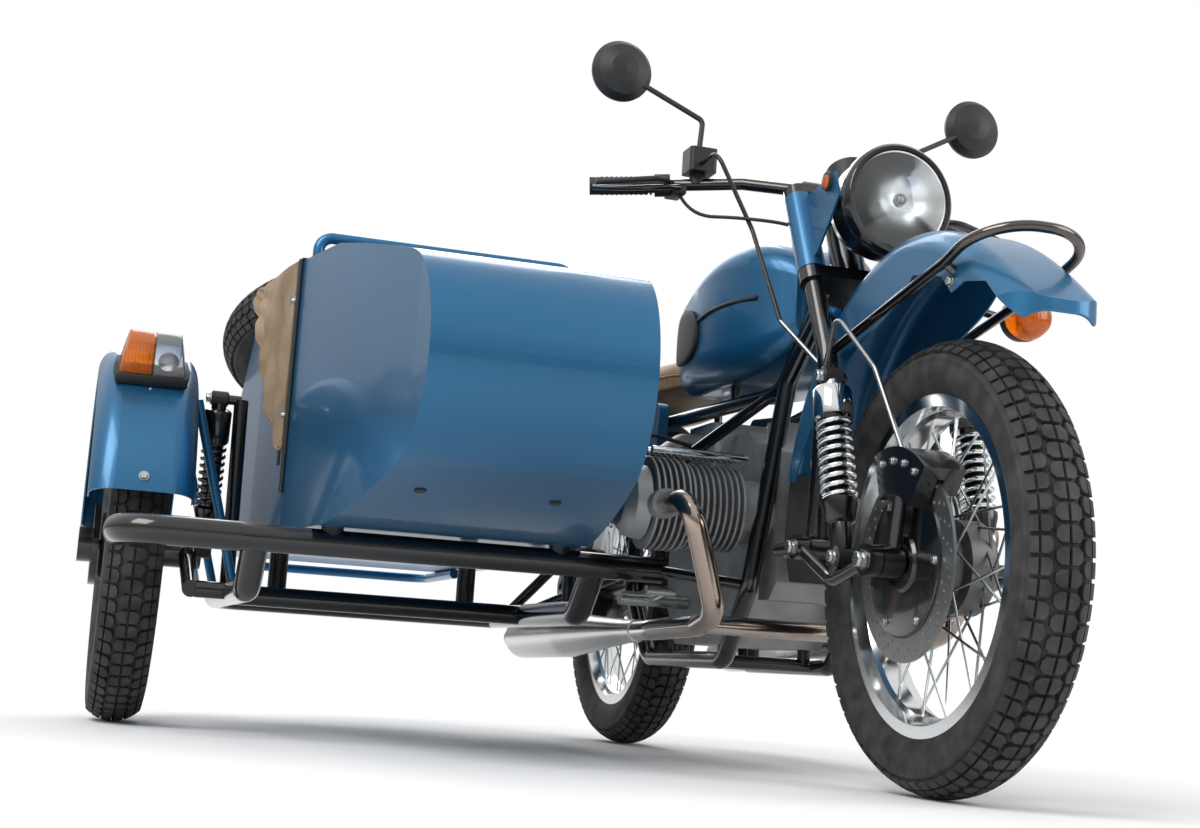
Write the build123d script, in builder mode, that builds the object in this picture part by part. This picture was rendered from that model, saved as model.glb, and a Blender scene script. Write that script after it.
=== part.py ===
"""Sidecar motorcycle, an assembly of separate named pieces in one frame.

Millimetres, +Z up, ground at Z 0, forward is -Y and the rider's left is +X.
"""

import os
from math import cos, radians, sin

from build123d import *

# The whole machine
WHEELBASE = 1498.0
TRACK = 1139.0
WHEEL_LEAD = 240.0
BIKE_X = 405.0
FRONT_AXLE_Y = -920.0

# Tyres and wire wheels
TYRE_RADIUS = 343.0
TYRE_HALF = 54.0
SHOULDER_IN = 8.0
SHOULDER_DROP = 17.0
BULGE_RADIUS = 292.0
BEAD_RADIUS = 246.0
BEAD_HALF = 34.0
LIP_RADIUS = 257.0
LIP_WALL = 4.0
FIT_GAP = 0.3
RUN_GAP = 0.06
WELL_RADIUS = 227.0
HUB_FLANGE_RADIUS = 72.0
HUB_CORE_RADIUS = 42.0
HUB_HALF = 55.0
SPOKES = 36
SPOKE_RADIUS = 2.0
SPOKE_LEAD = 52.0
AXLE_RADIUS = 10.0
DISC_RADIUS = 148.0
DISC_WALL = 5.0
DISC_X = -62.0

# Steering: the axis goes through the head, tilted back by the rake
RAKE = 27.0
HEAD_Y = 400.0
HEAD_Z = 900.0
FORK_LEAD = 42.0
FORK_HALF = 97.0
LEG_RADIUS = 17.0
COVER_RADIUS = 25.0
PIVOT_Y = 262.0
PIVOT_Z = 375.0
LINK_HALF = 125.0
LINK_RADIUS = 10.5
LOOP_Y = 376.0
SHOCK_HALF = 121.0
SHOCK_TOP = (178.0, 645.0)
SHOCK_LOW = (100.0, 352.0)
FENDER_Y = 20.0
FENDER_Z = 400.0
FENDER_CROWN = 455.0
FENDER_HALF = 76.0
FENDER_WALL = 3.0
FENDER_ROUND = 34.0
FENDER_TIP = -312.0
FENDER_NOSE = 58.0
# Front fender's side view: degrees round its middle, with the radius of its crown and of its lower edge
FENDER_CROWNS = (
    (14.0, 455.0),
    (50.0, 455.0),
    (88.0, 455.0),
    (105.0, 446.0),
    (120.0, 437.0),
    (140.0, 446.0),
)
FENDER_LIPS = (
    (140.0, 414.0),
    (127.0, 411.0),
    (119.0, 388.0),
    (114.5, 362.0),
    (108.0, 379.0),
    (94.0, 381.0),
)
FENDER_SKIRTS = ((94.0, 381.0), (86.0, 346.0), (70.0, 333.0), (45.0, 352.0), (14.0, 403.0))
LAMP_Y = 204.0
LAMP_Z = 960.0
LAMP_RADIUS = 94.0
BAR_RADIUS = 11.0

# Motorcycle
ENGINE_HALF = 120.0
ENGINE_FRONT = 482.0
ENGINE_REAR = 980.0
CYLINDER_Y = 560.0
CYLINDER_Z = 455.0
FIN_RADIUS = 76.0
FRAME_RADIUS = 16.0
PIPE_RADIUS = 19.0
MUFFLER_X = 250.0
MUFFLER_RADIUS = 46.0

# Sidecar: tub profile along the machine, and its plan
TUB_X = -607.0
TUB_FLOOR = 375.0
TUB_WALL = 4.0
NOSE_Y = 122.0
NOSE_Z = 615.0
COWL_Y = 960.0
COWL_Z = 899.0
DECK_Y = 1450.0
DECK_Z = 930.0
DECK_SLOPE = 20.0
DECK_LENGTH = 560.0
LID_FROM = 20.0
LID_LENGTH = 500.0
LID_HALF = 205.0
LID_WALL = 5.0
SPARE_ALONG = 385.0
SPARE_UP = 105.0
RAIL_RADIUS = 24.0

REAR_Y = WHEELBASE
SIDE_Y = WHEELBASE - WHEEL_LEAD
AXLE_Z = TYRE_RADIUS
SIDE_X = -TRACK


def at(x, y, z):
    """Point of the part's frame, from the bike's mid-plane and its front axle."""
    return Vector(BIKE_X + x, FRONT_AXLE_Y + y, z)


def tube(points, radius, bend=0.0):
    """Round tube along straight runs joined by bends."""
    with BuildPart() as made:
        with BuildLine() as route:
            if len(points) > 2:
                FilletPolyline(*points, radius=bend)
            else:
                Line(*points)
        with BuildSketch(Plane(origin=route.line @ 0, z_dir=route.line % 0)):
            Circle(radius)
        sweep(path=route.line)
    return made.part


def rod(start, end, radius):
    """Round bar from one point to another."""
    way = end - start
    with BuildPart(Plane(origin=start, z_dir=way)) as made:
        Cylinder(radius, way.length, align=(Align.CENTER, Align.CENTER, Align.MIN))
    return made.part


def block(centre, size, rounding=0.0):
    """Box with its upright edges rounded."""
    with BuildPart(Plane(origin=centre)) as made:
        Box(*size)
        if rounding:
            fillet(made.edges().filter_by(Axis.Z), rounding)
    return made.part


def turned(origin, axis, profile):
    """Solid of revolution from (along, radius) points about an axis."""
    side = Vector(1, 0, 0) if abs(Vector(*axis).X) < 0.9 else Vector(0, 1, 0)
    axis = Vector(*axis).normalized()
    up = axis.cross(side).normalized()
    plane = Plane(origin=origin, x_dir=axis, z_dir=axis.cross(up))
    with BuildPart() as made:
        with BuildSketch(plane):
            with BuildLine():
                Polyline(*profile, close=True)
            make_face()
        revolve(axis=Axis(origin, axis))
    return made.part


def fused(pieces, clear=()):
    """One node from the pieces fixed into it, cut back where other nodes are."""
    with BuildPart() as made:
        for piece in pieces:
            add(piece)
        for name in clear:
            add(NODES[name], mode=Mode.SUBTRACT)
    return made.part


def arch(centre, start, sweep_angle, half, crown, skirt, corner, wall):
    """Fender: a channel section turned about the wheel's direction."""
    c = cos(radians(start))
    s = sin(radians(start))
    plane = Plane(origin=centre, x_dir=(1, 0, 0), z_dir=(0, -s, c))
    low = crown - skirt
    with BuildPart() as made:
        with BuildSketch(plane):
            with BuildLine():
                outer = FilletPolyline(
                    (-half, low), (-half, crown), (half, crown), (half, low), radius=corner
                )
                inner = FilletPolyline(
                    (-half + wall, low),
                    (-half + wall, crown - wall),
                    (half - wall, crown - wall),
                    (half - wall, low),
                    radius=corner - wall,
                )
                Line(outer @ 0, inner @ 0)
                Line(outer @ 1, inner @ 1)
            make_face()
        revolve(axis=Axis(centre, (1, 0, 0)), revolution_arc=sweep_angle)
    return made.part


NODES = {}


def keep(name, part):
    """Names a finished node."""
    part.label = name
    NODES[name] = part


# Wheels

with BuildPart() as tyre:
    shoulder = (TYRE_HALF - SHOULDER_IN, TYRE_RADIUS - SHOULDER_DROP)
    heel = (BEAD_HALF + 4.0, LIP_RADIUS + 1.0)
    with BuildSketch(Plane.XY):
        with BuildLine():
            ThreePointArc((-shoulder[0], shoulder[1]), (0, TYRE_RADIUS), shoulder)
            ThreePointArc(shoulder, (TYRE_HALF, BULGE_RADIUS), heel)
            Polyline(
                heel,
                (BEAD_HALF, heel[1]),
                (BEAD_HALF, BEAD_RADIUS),
                (-BEAD_HALF, BEAD_RADIUS),
                (-BEAD_HALF, heel[1]),
                (-heel[0], heel[1]),
            )
            ThreePointArc((-heel[0], heel[1]), (-TYRE_HALF, BULGE_RADIUS), (-shoulder[0], shoulder[1]))
        make_face()
    revolve(axis=Axis.X)

seat = BEAD_RADIUS - FIT_GAP
lip_in = BEAD_HALF + FIT_GAP
lip_out = lip_in + LIP_WALL
half_rim = [
    (lip_in, seat),
    (lip_in, LIP_RADIUS),
    (lip_out, LIP_RADIUS),
    (lip_out, seat - 7.0),
    (20.0, WELL_RADIUS + 6.0),
    (14.0, WELL_RADIUS),
]
spoke_lines = []
for i in range(SPOKES):
    side = 1 if i % 2 else -1
    lead = SPOKE_LEAD if (i // 2) % 2 else -SPOKE_LEAD
    rim_angle = radians(i * 360.0 / SPOKES)
    hub_angle = rim_angle + radians(lead)
    head_x = side * (36.0 + (4.0 if lead > 0 else -4.0))
    foot = HUB_FLANGE_RADIUS - 4.0
    tip = WELL_RADIUS + 3.0
    spoke_lines.append(
        (
            Vector(head_x, foot * cos(hub_angle), foot * sin(hub_angle)),
            Vector(side * 9.0, tip * cos(rim_angle), tip * sin(rim_angle)),
        )
    )
with BuildPart() as wire_wheel:
    with BuildSketch(Plane.XY):
        with BuildLine():
            Polyline(*half_rim, *[(-x, r) for x, r in reversed(half_rim)], close=True)
        make_face()
    revolve(axis=Axis.X)
    with BuildSketch(Plane.XY):
        with BuildLine():
            Polyline(
                (-HUB_HALF, AXLE_RADIUS + RUN_GAP),
                (-HUB_HALF, HUB_CORE_RADIUS),
                (-44.0, HUB_CORE_RADIUS),
                (-44.0, HUB_FLANGE_RADIUS),
                (-28.0, HUB_FLANGE_RADIUS),
                (-24.0, HUB_CORE_RADIUS + 14.0),
                (0.0, HUB_CORE_RADIUS + 14.0),
                (6.0, HUB_FLANGE_RADIUS),
                (46.0, HUB_FLANGE_RADIUS),
                (HUB_HALF, HUB_CORE_RADIUS + 20.0),
                (HUB_HALF, AXLE_RADIUS + RUN_GAP),
                close=True,
            )
        make_face()
    revolve(axis=Axis.X)
    length = (spoke_lines[0][1] - spoke_lines[0][0]).length
    with Locations(*[Plane(origin=a, z_dir=b - a) for a, b in spoke_lines]):
        Cylinder(SPOKE_RADIUS, length, align=(Align.CENTER, Align.CENTER, Align.MIN))

with BuildPart() as brake_disc:
    with BuildSketch(Plane.YZ.offset(DISC_X - DISC_WALL)):
        Circle(DISC_RADIUS)
        Circle(HUB_CORE_RADIUS + 4.0, mode=Mode.SUBTRACT)
        with PolarLocations(92.0, 6):
            Circle(16.0, mode=Mode.SUBTRACT)
        for row, holes in ((120.0, 24), (130.0, 24), (140.0, 24)):
            with PolarLocations(row, holes, start_angle=row * 0.5):
                Circle(3.0, mode=Mode.SUBTRACT)
    extrude(amount=DISC_WALL)
    with BuildSketch(Plane.YZ.offset(DISC_X - DISC_WALL)):
        Circle(HUB_CORE_RADIUS + 18.0)
        Circle(AXLE_RADIUS + 6.0, mode=Mode.SUBTRACT)
    extrude(amount=-DISC_X + DISC_WALL - HUB_HALF)

slope_sin = sin(radians(DECK_SLOPE))
slope_cos = cos(radians(DECK_SLOPE))


def on_deck(x, along, up):
    """Point above the sloped rear deck."""
    y = DECK_Y + along * slope_cos + up * slope_sin
    return at(x, y, DECK_Z - along * slope_sin + up * slope_cos)


WHEELS = (
    ("front", Location(at(0, 0, AXLE_Z))),
    ("rear", Location(at(0, REAR_Y, AXLE_Z))),
    ("sidecar", Location(at(SIDE_X, SIDE_Y, AXLE_Z), (0, 0, 180))),
    (
        "spare",
        Plane(
            origin=on_deck(TUB_X, SPARE_ALONG, SPARE_UP),
            x_dir=(0, slope_sin, slope_cos),
            z_dir=(0, -slope_cos, slope_sin),
        ).location,
    ),
)
for name, place in WHEELS:
    keep(name + "_tyre", tyre.part.moved(place))
    keep(name + "_wheel", wire_wheel.part.moved(place))
keep("front_disc", brake_disc.part.moved(WHEELS[0][1]))

# Fork, in the plane of the steering axis

rake_sin = sin(radians(RAKE))
rake_cos = cos(radians(RAKE))


def steer(x, lead, up):
    """Point from the steering axis: ahead of it, and up along it from the head."""
    y = HEAD_Y - lead * rake_cos + up * rake_sin
    return at(x, y, HEAD_Z + lead * rake_sin + up * rake_cos)


CLAMP_UP = 95.0
CLAMP_LOW = -90.0
steer_axis = Vector(0, rake_sin, rake_cos)
fork_pieces = []
for side in (-1, 1):
    x = side * FORK_HALF
    fork_pieces.append(
        tube(
            [steer(x, FORK_LEAD, CLAMP_UP + 12), steer(x, FORK_LEAD, -262), at(x, PIVOT_Y, PIVOT_Z)],
            LEG_RADIUS,
            90.0,
        )
    )
    fork_pieces.append(rod(at(x - 16, PIVOT_Y, PIVOT_Z), at(x + 16, PIVOT_Y, PIVOT_Z), 24.0))
    fork_pieces.append(
        rod(at(x, 232.0, SHOCK_TOP[1] + 8), at(side * (SHOCK_HALF - 20), *SHOCK_TOP), 9.0)
    )
    fork_pieces.append(
        rod(at(side * (SHOCK_HALF - 24), *SHOCK_TOP), at(side * (SHOCK_HALF + 14), *SHOCK_TOP), 9.0)
    )
for up, wall in ((CLAMP_UP, 18.0), (CLAMP_LOW, 24.0)):
    plane = Plane(origin=steer(0, 0, up - wall / 2), x_dir=(1, 0, 0), z_dir=steer_axis)
    with BuildPart() as clamp:
        with BuildSketch(plane):
            with Locations((0, -FORK_LEAD)):
                SlotCenterToCenter(2 * FORK_HALF, 2 * LEG_RADIUS + 14)
            with Locations((0, -12)):
                SlotCenterToCenter(2 * 30.0, 56.0)
        extrude(amount=wall)
    fork_pieces.append(clamp.part)
fork_pieces.append(rod(steer(0, 0, CLAMP_LOW), steer(0, 0, CLAMP_UP), 12.0))
SIGNAL = at(200, 165, 771)
fork_pieces.append(rod(steer(FORK_HALF + 8, FORK_LEAD, CLAMP_LOW), SIGNAL, 7.0))
keep("fork", fused(fork_pieces))

cover_pieces = []
for side in (-1, 1):
    x = side * FORK_HALF
    low = CLAMP_LOW + 13
    high = CLAMP_UP - 10
    foot = Plane(origin=steer(x, FORK_LEAD, low), z_dir=steer_axis)
    ear = Plane(origin=at(side * FORK_HALF + 2 * side - 2, 0, 0), x_dir=(0, 1, 0), z_dir=(1, 0, 0))
    with BuildPart() as sleeve:
        with BuildSketch(foot):
            Circle(COVER_RADIUS)
        extrude(amount=high - low)
        with BuildSketch(ear):
            with BuildLine():
                Polyline((395, 985), (240, 1005), (222, 960), (300, 880), (350, 860), close=True)
            make_face()
        extrude(amount=4.0)
        with BuildSketch(foot):
            Circle(LEG_RADIUS + FIT_GAP)
        extrude(amount=high - low, mode=Mode.SUBTRACT)
    cover_pieces.append(sleeve.part)
keep("fork_covers", fused(cover_pieces, ["fork"]))

link_pieces = []
for side in (-1, 1):
    x = side * LINK_HALF
    link_pieces.append(
        tube([at(x, PIVOT_Y, PIVOT_Z), at(x, 128, 316), at(x, 0, AXLE_Z)], LINK_RADIUS, 70.0)
    )
    link_pieces.append(rod(at(x - 11, PIVOT_Y, PIVOT_Z), at(x + 11, PIVOT_Y, PIVOT_Z), 20.0))
    link_pieces.append(rod(at(x - 11, 0, AXLE_Z), at(x + 11, 0, AXLE_Z), 24.0))
    link_pieces.append(rod(at(x, *SHOCK_LOW), at(x, 128, 318), 9.0))
    link_pieces.append(rod(at(x - 16, *SHOCK_LOW), at(x + 11, *SHOCK_LOW), 8.0))
loop_x = LINK_HALF
link_pieces.append(
    tube(
        [
            at(-loop_x, PIVOT_Y, PIVOT_Z),
            at(-loop_x, LOOP_Y, PIVOT_Z),
            at(loop_x, LOOP_Y, PIVOT_Z),
            at(loop_x, PIVOT_Y, PIVOT_Z),
        ],
        LINK_RADIUS,
        36.0,
    )
)
link_pieces.append(rod(at(-LINK_HALF, 0, AXLE_Z), at(LINK_HALF, 0, AXLE_Z), AXLE_RADIUS))
keep("leading_link", fused(link_pieces))

shock_pieces = []
low_point = Vector(0, *SHOCK_LOW)
high_point = Vector(0, *SHOCK_TOP)
shock_length = (high_point - low_point).length
COIL_FROM = 95.0
COIL_TO = 232.0
COILS = 9
pitch = (COIL_TO - COIL_FROM) / COILS
coil_profile = []
for i in range(COILS):
    start = COIL_FROM + i * pitch
    coil_profile += [(start, 22.0), (start + 0.2 * pitch, 29.0), (start + 0.6 * pitch, 29.0)]
    coil_profile += [(start + 0.8 * pitch, 22.0)]
for side in (-1, 1):
    foot = at(side * SHOCK_HALF, *SHOCK_LOW)
    shock_pieces.append(
        turned(
            foot,
            high_point - low_point,
            [
                (9.0, 0.0),
                (9.0, 17.0),
                (60.0, 17.0),
                (60.0, 24.0),
                (COIL_FROM - 4.0, 30.0),
                (COIL_FROM, 30.0),
                *coil_profile,
                (COIL_TO, 31.0),
                (shock_length - 22.0, 31.0),
                (shock_length - 22.0, 16.0),
                (shock_length - 9.5, 16.0),
                (shock_length - 9.5, 0.0),
            ],
        )
    )
keep("front_shocks", fused(shock_pieces))

CALIPER_HALF = 34.0
disc_mid = DISC_X - DISC_WALL / 2
caliper = Plane(origin=at(disc_mid - CALIPER_HALF, 0, AXLE_Z), x_dir=(0, 1, 0), z_dir=(1, 0, 0))
slot = Plane(origin=at(disc_mid - DISC_WALL / 2 - 3, 0, AXLE_Z), x_dir=(0, 1, 0), z_dir=(1, 0, 0))
with BuildPart() as brake_caliper:
    with BuildSketch(caliper):
        with BuildLine():
            outer = CenterArc((0, 0), 172, 72, 58)
            inner = CenterArc((0, 0), 100, 72, 58)
            Line(outer @ 0, inner @ 0)
            Line(outer @ 1, inner @ 1)
        make_face()
    extrude(amount=2 * CALIPER_HALF)
    with BuildSketch(slot):
        Circle(DISC_RADIUS + 4.0)
    extrude(amount=DISC_WALL + 6.0, mode=Mode.SUBTRACT)
    with BuildSketch(slot):
        Circle(126.0)
    extrude(amount=60.0, mode=Mode.SUBTRACT)
carrier_x = DISC_X - 26
carrier = turned(
    at(carrier_x + 12, 0, AXLE_Z),
    (-1, 0, 0),
    [(0.0, AXLE_RADIUS + FIT_GAP), (0.0, 24.0), (36.0, 24.0), (36.0, AXLE_RADIUS + FIT_GAP)],
)
carrier_arm = rod(at(carrier_x, -2, AXLE_Z + 18), at(carrier_x, -22, AXLE_Z + 112), 10.0)
keep("brake_caliper", fused([brake_caliper.part, carrier, carrier_arm], ["leading_link"]))

fender_centre = at(0, FENDER_Y, FENDER_Z)


def fender_solid(shrink, open_by):
    """Front fender as a filled form: a long crown, a visor with a rounded nose and deep skirts behind it.

    Args:
        shrink: How far its faces lie inside the outer form.
        open_by: How far its lower edge is let down.

    Returns:
        The filled form.
    """

    def spot(angle, radius):
        return (FENDER_Y + radius * cos(radians(angle)), FENDER_Z + radius * sin(radians(angle)))

    half = FENDER_HALF - shrink
    side_view = Plane(origin=at(-half, 0, 0), x_dir=(0, 1, 0), z_dir=(1, 0, 0))
    with BuildPart() as made:
        with BuildSketch(side_view):
            with BuildLine():
                crown = Spline(*[spot(angle, radius - shrink) for angle, radius in FENDER_CROWNS])
                lip = Polyline(*[spot(angle, radius - open_by) for angle, radius in FENDER_LIPS])
                skirt = Spline(*[spot(angle, radius - open_by) for angle, radius in FENDER_SKIRTS])
                Line(crown @ 1, lip @ 0)
                Line(skirt @ 1, crown @ 0)
            make_face()
        extrude(amount=2 * half)
        fillet(made.edges().filter_by(GeomType.BSPLINE).sort_by(Axis.Z)[-2:], FENDER_ROUND - shrink)
        with BuildSketch(Plane(origin=at(0, 0, FENDER_Z))):
            with BuildLine():
                nose = FENDER_TIP + shrink
                back = FENDER_Y + FENDER_CROWNS[0][1] + 20.0
                corners = ((-half, back), (-half, nose), (half, nose), (half, back))
                FilletPolyline(*corners, radius=FENDER_NOSE - shrink)
                Line((-half, back), (half, back))
            make_face()
        extrude(amount=FENDER_CROWN + 40.0, mode=Mode.INTERSECT, both=True)
    return made.part


with BuildPart() as fender:
    add(fender_solid(0.0, 0.0))
    add(fender_solid(FENDER_WALL, 30.0), mode=Mode.SUBTRACT)
stays = []
for side in (-1, 1):
    edge = side * (FENDER_HALF - 1.0)
    stays.append(rod(at(edge, 262, 770), at(side * (FORK_HALF - LEG_RADIUS + 3), 296, 782), 8.0))
keep("front_fender", fused([fender.part, *stays], ["fork"]))

flap_y = FENDER_Y + FENDER_CROWN - 20.0
with BuildPart() as mud_flap:
    with BuildSketch(Plane(origin=at(0, flap_y - 6, 0), x_dir=(1, 0, 0), z_dir=(0, -1, 0))):
        with BuildLine():
            Polyline((-66, 516), (66, 516), (72, 410), (60, 330), (-60, 330), (-72, 410), close=True)
        make_face()
    extrude(amount=4.0)
keep("mud_flap", fused([mud_flap.part], ["front_fender"]))

RAIL_X = 92.0
RAIL_REAR = (245.0, 700.0)
RAIL_KNEE = (-140.0, 772.0)
RAIL_FRONT = (-258.0, 808.0)
fender_rail = tube(
    [
        at(-RAIL_X, *RAIL_REAR),
        at(-RAIL_X, *RAIL_KNEE),
        at(-RAIL_X, *RAIL_FRONT),
        at(RAIL_X, *RAIL_FRONT),
        at(RAIL_X, *RAIL_KNEE),
        at(RAIL_X, *RAIL_REAR),
    ],
    8.0,
    86.0,
)
rail_feet = []
for side in (-1, 1):
    foot = at(side * (FENDER_HALF - 1.5), RAIL_KNEE[0] + 4, RAIL_KNEE[1] - 12)
    rail_feet.append(rod(at(side * RAIL_X, RAIL_KNEE[0] + 4, RAIL_KNEE[1]), foot, 7.0))
rail = fused([fender_rail, *rail_feet], ["front_fender", "fork"])
keep("fender_rail", rail.solids().sort_by(SortBy.VOLUME)[-1])

lamp_back = at(0, LAMP_Y + 140.0, LAMP_Z)
shell = turned(
    lamp_back,
    (0, -1, 0),
    [
        (0.0, 0.0),
        (0.0, 40.0),
        (30.0, 74.0),
        (70.0, 90.0),
        (122.0, LAMP_RADIUS - 1.0),
        (124.0, LAMP_RADIUS + 2.0),
        (144.0, LAMP_RADIUS),
        (144.0, LAMP_RADIUS - 9.0),
        (128.0, LAMP_RADIUS - 9.0),
        (128.0, 0.0),
    ],
)
gauge_foot = steer(0, 64, CLAMP_UP + 9)
gauge = rod(gauge_foot, gauge_foot + steer_axis * 46.0, 40.0)
lamp_bolts = rod(at(-FORK_HALF, 262, LAMP_Z), at(FORK_HALF, 262, LAMP_Z), 8.0)
keep("headlight_shell", fused([shell, lamp_bolts]))
keep("instrument", gauge)
lens = turned(
    lamp_back,
    (0, -1, 0),
    [(128.3, 0.0), (128.3, LAMP_RADIUS - 9.3), (144.0, LAMP_RADIUS - 9.3), (156.0, 50.0), (160.0, 0.0)],
)
keep("headlight_lens", lens)

BAR = ((52.0, 470.0, 1034.0), (150.0, 540.0, 1052.0), (272.0, 612.0, 1050.0), (404.0, 652.0, 1040.0))
right_bar = [at(-x, y, z) for x, y, z in reversed(BAR)]
left_bar = [at(x, y, z) for x, y, z in BAR]
bar_tube = tube(right_bar + left_bar, BAR_RADIUS, 40.0)
risers = []
for side in (-1, 1):
    top = at(side * 46, BAR[0][1], BAR[0][2])
    risers.append(rod(steer(side * 46, 8, CLAMP_UP + 9), top, 12.0))
    risers.append(rod(top - Vector(14, 0, 0), top + Vector(14, 0, 0), 18.0))
keep("handlebar", fused([bar_tube, *risers], ["fork"]))

grip_from = Vector(*BAR[2])
grip_to = Vector(*BAR[3])
grip_way = (grip_to - grip_from).normalized()
control_pieces = []
for side in (-1, 1):
    spots = []
    for along in (-6.0, 22.0, 34.0, 142.0):
        spot = grip_from + grip_way * along
        spots.append(at(side * spot.X, spot.Y, spot.Z))
    grip = rod(spots[2], spots[3], 16.5)
    housing = rod(spots[0], spots[1], 21.0)
    reach = at(side * 300, 556, 1046)
    lever = tube([spots[0] + Vector(0, -14, 0), reach, at(side * 415, 588, 1030)], 5.0, 30.0)
    control_pieces += [fused([grip, housing, rod(spots[1], spots[2], 14.0), lever])]
reservoir = block(at(-222, 578, 1092), (52, 56, 44), 8.0)
reservoir_neck = rod(at(-222, 586, 1075), at(-222, 584, 1050), 15.0)
clutch_perch = rod(at(222, 584, 1050), at(222, 584, 1082), 15.0)
with BuildPart() as hand_controls:
    for piece in (*control_pieces, reservoir, reservoir_neck, clutch_perch):
        add(piece)
    add(bar_tube, mode=Mode.SUBTRACT)
keep("hand_controls", hand_controls.part)

mirror_pieces = []
for side in (-1, 1):
    foot_z = 1114.3 if side < 0 else 1082.3
    centre = at(side * 365, 628, 1262)
    stalk = tube(
        [at(side * 222, 584, foot_z), at(side * 216, 590, 1176), at(side * 350, 634, 1254)], 5.0, 14.0
    )
    head = turned(
        centre,
        (0, -1, 0),
        [(-14.0, 0.0), (-14.0, 57.0), (-6.0, 58.0), (8.0, 48.0), (18.0, 26.0), (22.0, 0.0)],
    )
    mirror_pieces.append(fused([stalk, head]))
keep("mirrors", fused(mirror_pieces, ["hand_controls"]))

signal = turned(
    SIGNAL,
    (0, -1, 0),
    [(4.0, 0.0), (4.0, 20.0), (14.0, 37.0), (34.0, 38.0), (60.0, 35.0), (68.0, 24.0), (71.0, 0.0)],
)
keep("turn_signal", fused([signal], ["fork"]))

hose = tube(
    [
        at(-228, 549.6, 1082),
        at(-228, 470, 1082),
        at(-165, 440, 940),
        at(-150, 330, 760),
        at(-104, 242, 668),
    ],
    4.0,
    30.0,
)
hose_low = tube(
    [
        at(-104, 240, 672),
        at(-128, 150, 740),
        at(-110, 40, 640),
        at(-88, -22, 505),
    ],
    4.0,
    30.0,
)
keep("hoses_cables", fused([hose, hose_low], ["fork", "brake_caliper"]))

# Motorcycle frame and engine

frame_pieces = []
RAIL_HALF = 106.0
POST_HALF = 125.0
POST_Y = 1118.0
for side in (-1, 1):
    frame_pieces.append(
        tube(
            [
                steer(side * 20, -24, CLAMP_LOW + 50),
                at(side * 60, 494, 690),
                at(side * RAIL_HALF, 518, 320),
                at(side * RAIL_HALF, 620, 190),
                at(side * RAIL_HALF, 1040, 190),
                at(side * POST_HALF, POST_Y, 330),
                at(side * 110, POST_Y + 10, 664),
            ],
            FRAME_RADIUS,
            40.0,
        )
    )
    frame_pieces.append(
        tube(
            [
                steer(side * 18, -24, CLAMP_LOW + 90),
                at(side * 60, 520, 672),
                at(side * 110, 1000, 668),
                at(side * 118, REAR_Y + 12, 700),
            ],
            14.0,
            60.0,
        )
    )
    frame_pieces.append(rod(at(side * 118, REAR_Y + 2, 699), at(side * 82.3, REAR_Y + 2, 699), 10.0))
    frame_pieces.append(rod(at(side * 79, 700, 671), at(side * 79, 700, 705.7), 9.0))
    frame_pieces.append(rod(at(side * 114, 1300, 687), at(side * 114, 1300, 743.6), 9.0))
    for y in (690, 940):
        frame_pieces.append(rod(at(side * 80, y, 190), at(side * 80, y, 219.7), 12.0))
head_low = steer(0, 0, CLAMP_LOW + 13)
head_high = steer(0, 0, CLAMP_UP - 10)
frame_pieces.append(rod(head_low, head_high, 30.0))
for y, z, x in ((690, 190, RAIL_HALF), (940, 190, RAIL_HALF), (POST_Y + 10, 660, 110)):
    frame_pieces.append(rod(at(-x, y, z), at(x, y, z), 12.0))
with BuildPart() as main_frame:
    for piece in frame_pieces:
        add(piece)
    add(rod(head_low - steer_axis, head_high + steer_axis, 12.0 + RUN_GAP), mode=Mode.SUBTRACT)
keep("main_frame", main_frame.part)

engine_side = Plane(origin=at(0, 0, 0), x_dir=(0, 1, 0), z_dir=(1, 0, 0))
with BuildPart() as engine:
    with BuildSketch(engine_side):
        with BuildLine():
            Polyline(
                (546, 352),
                (546, 580),
                (580, 604),
                (700, 604),
                (756, 548),
                (ENGINE_REAR, 548),
                (ENGINE_REAR, 300),
                (920, 220),
                (650, 220),
                close=True,
            )
        make_face()
    extrude(amount=ENGINE_HALF - 24, both=True)
    with BuildSketch(engine_side):
        with BuildLine():
            Polyline(
                (ENGINE_FRONT, 330),
                (ENGINE_FRONT, 560),
                (ENGINE_FRONT + 40, 620),
                (560, 620),
                (560, 300),
                (ENGINE_FRONT + 30, 300),
                close=True,
            )
        make_face()
    extrude(amount=70.0, both=True)
    with BuildSketch(Plane(origin=at(0, CYLINDER_Y, CYLINDER_Z), x_dir=(0, 1, 0), z_dir=(1, 0, 0))):
        Circle(56)
    extrude(amount=ENGINE_HALF + 10, both=True)
keep("engine_block", fused([engine.part], ["main_frame"]))

FIN_PITCH = 11.5
PORT_X = 285.0
PORT_ROOT = 20.0
fin_profile = []
for i in range(15):
    x = ENGINE_HALF + 12.0 + i * FIN_PITCH
    high = FIN_RADIUS if i < 9 else FIN_RADIUS + 6.0
    fin_profile += [(x, 54.0), (x, high), (x + 4.0, high), (x + 4.0, 54.0)]
cylinder_pieces = []
for side in (-1, 1):
    base = at(0, CYLINDER_Y, CYLINDER_Z)
    last = fin_profile[-1][0]
    cylinder_pieces.append(
        turned(
            base,
            (side, 0, 0),
            [
                (ENGINE_HALF + 10.3, 0.0),
                (ENGINE_HALF + 10.3, 54.0),
                *fin_profile,
                (last + 4.0, 66.0),
                (last + 30.0, 62.0),
                (last + 48.0, 44.0),
                (last + 50.0, 0.0),
            ],
        )
    )
    cylinder_pieces.append(
        rod(at(side * PORT_X, CYLINDER_Y - PORT_ROOT, 448), at(side * PORT_X, CYLINDER_Y - 92, 448), 26.0)
    )
    cylinder_pieces.append(
        rod(at(side * PORT_X, CYLINDER_Y + PORT_ROOT, 480), at(side * PORT_X, CYLINDER_Y + 96, 480), 24.0)
    )
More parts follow.
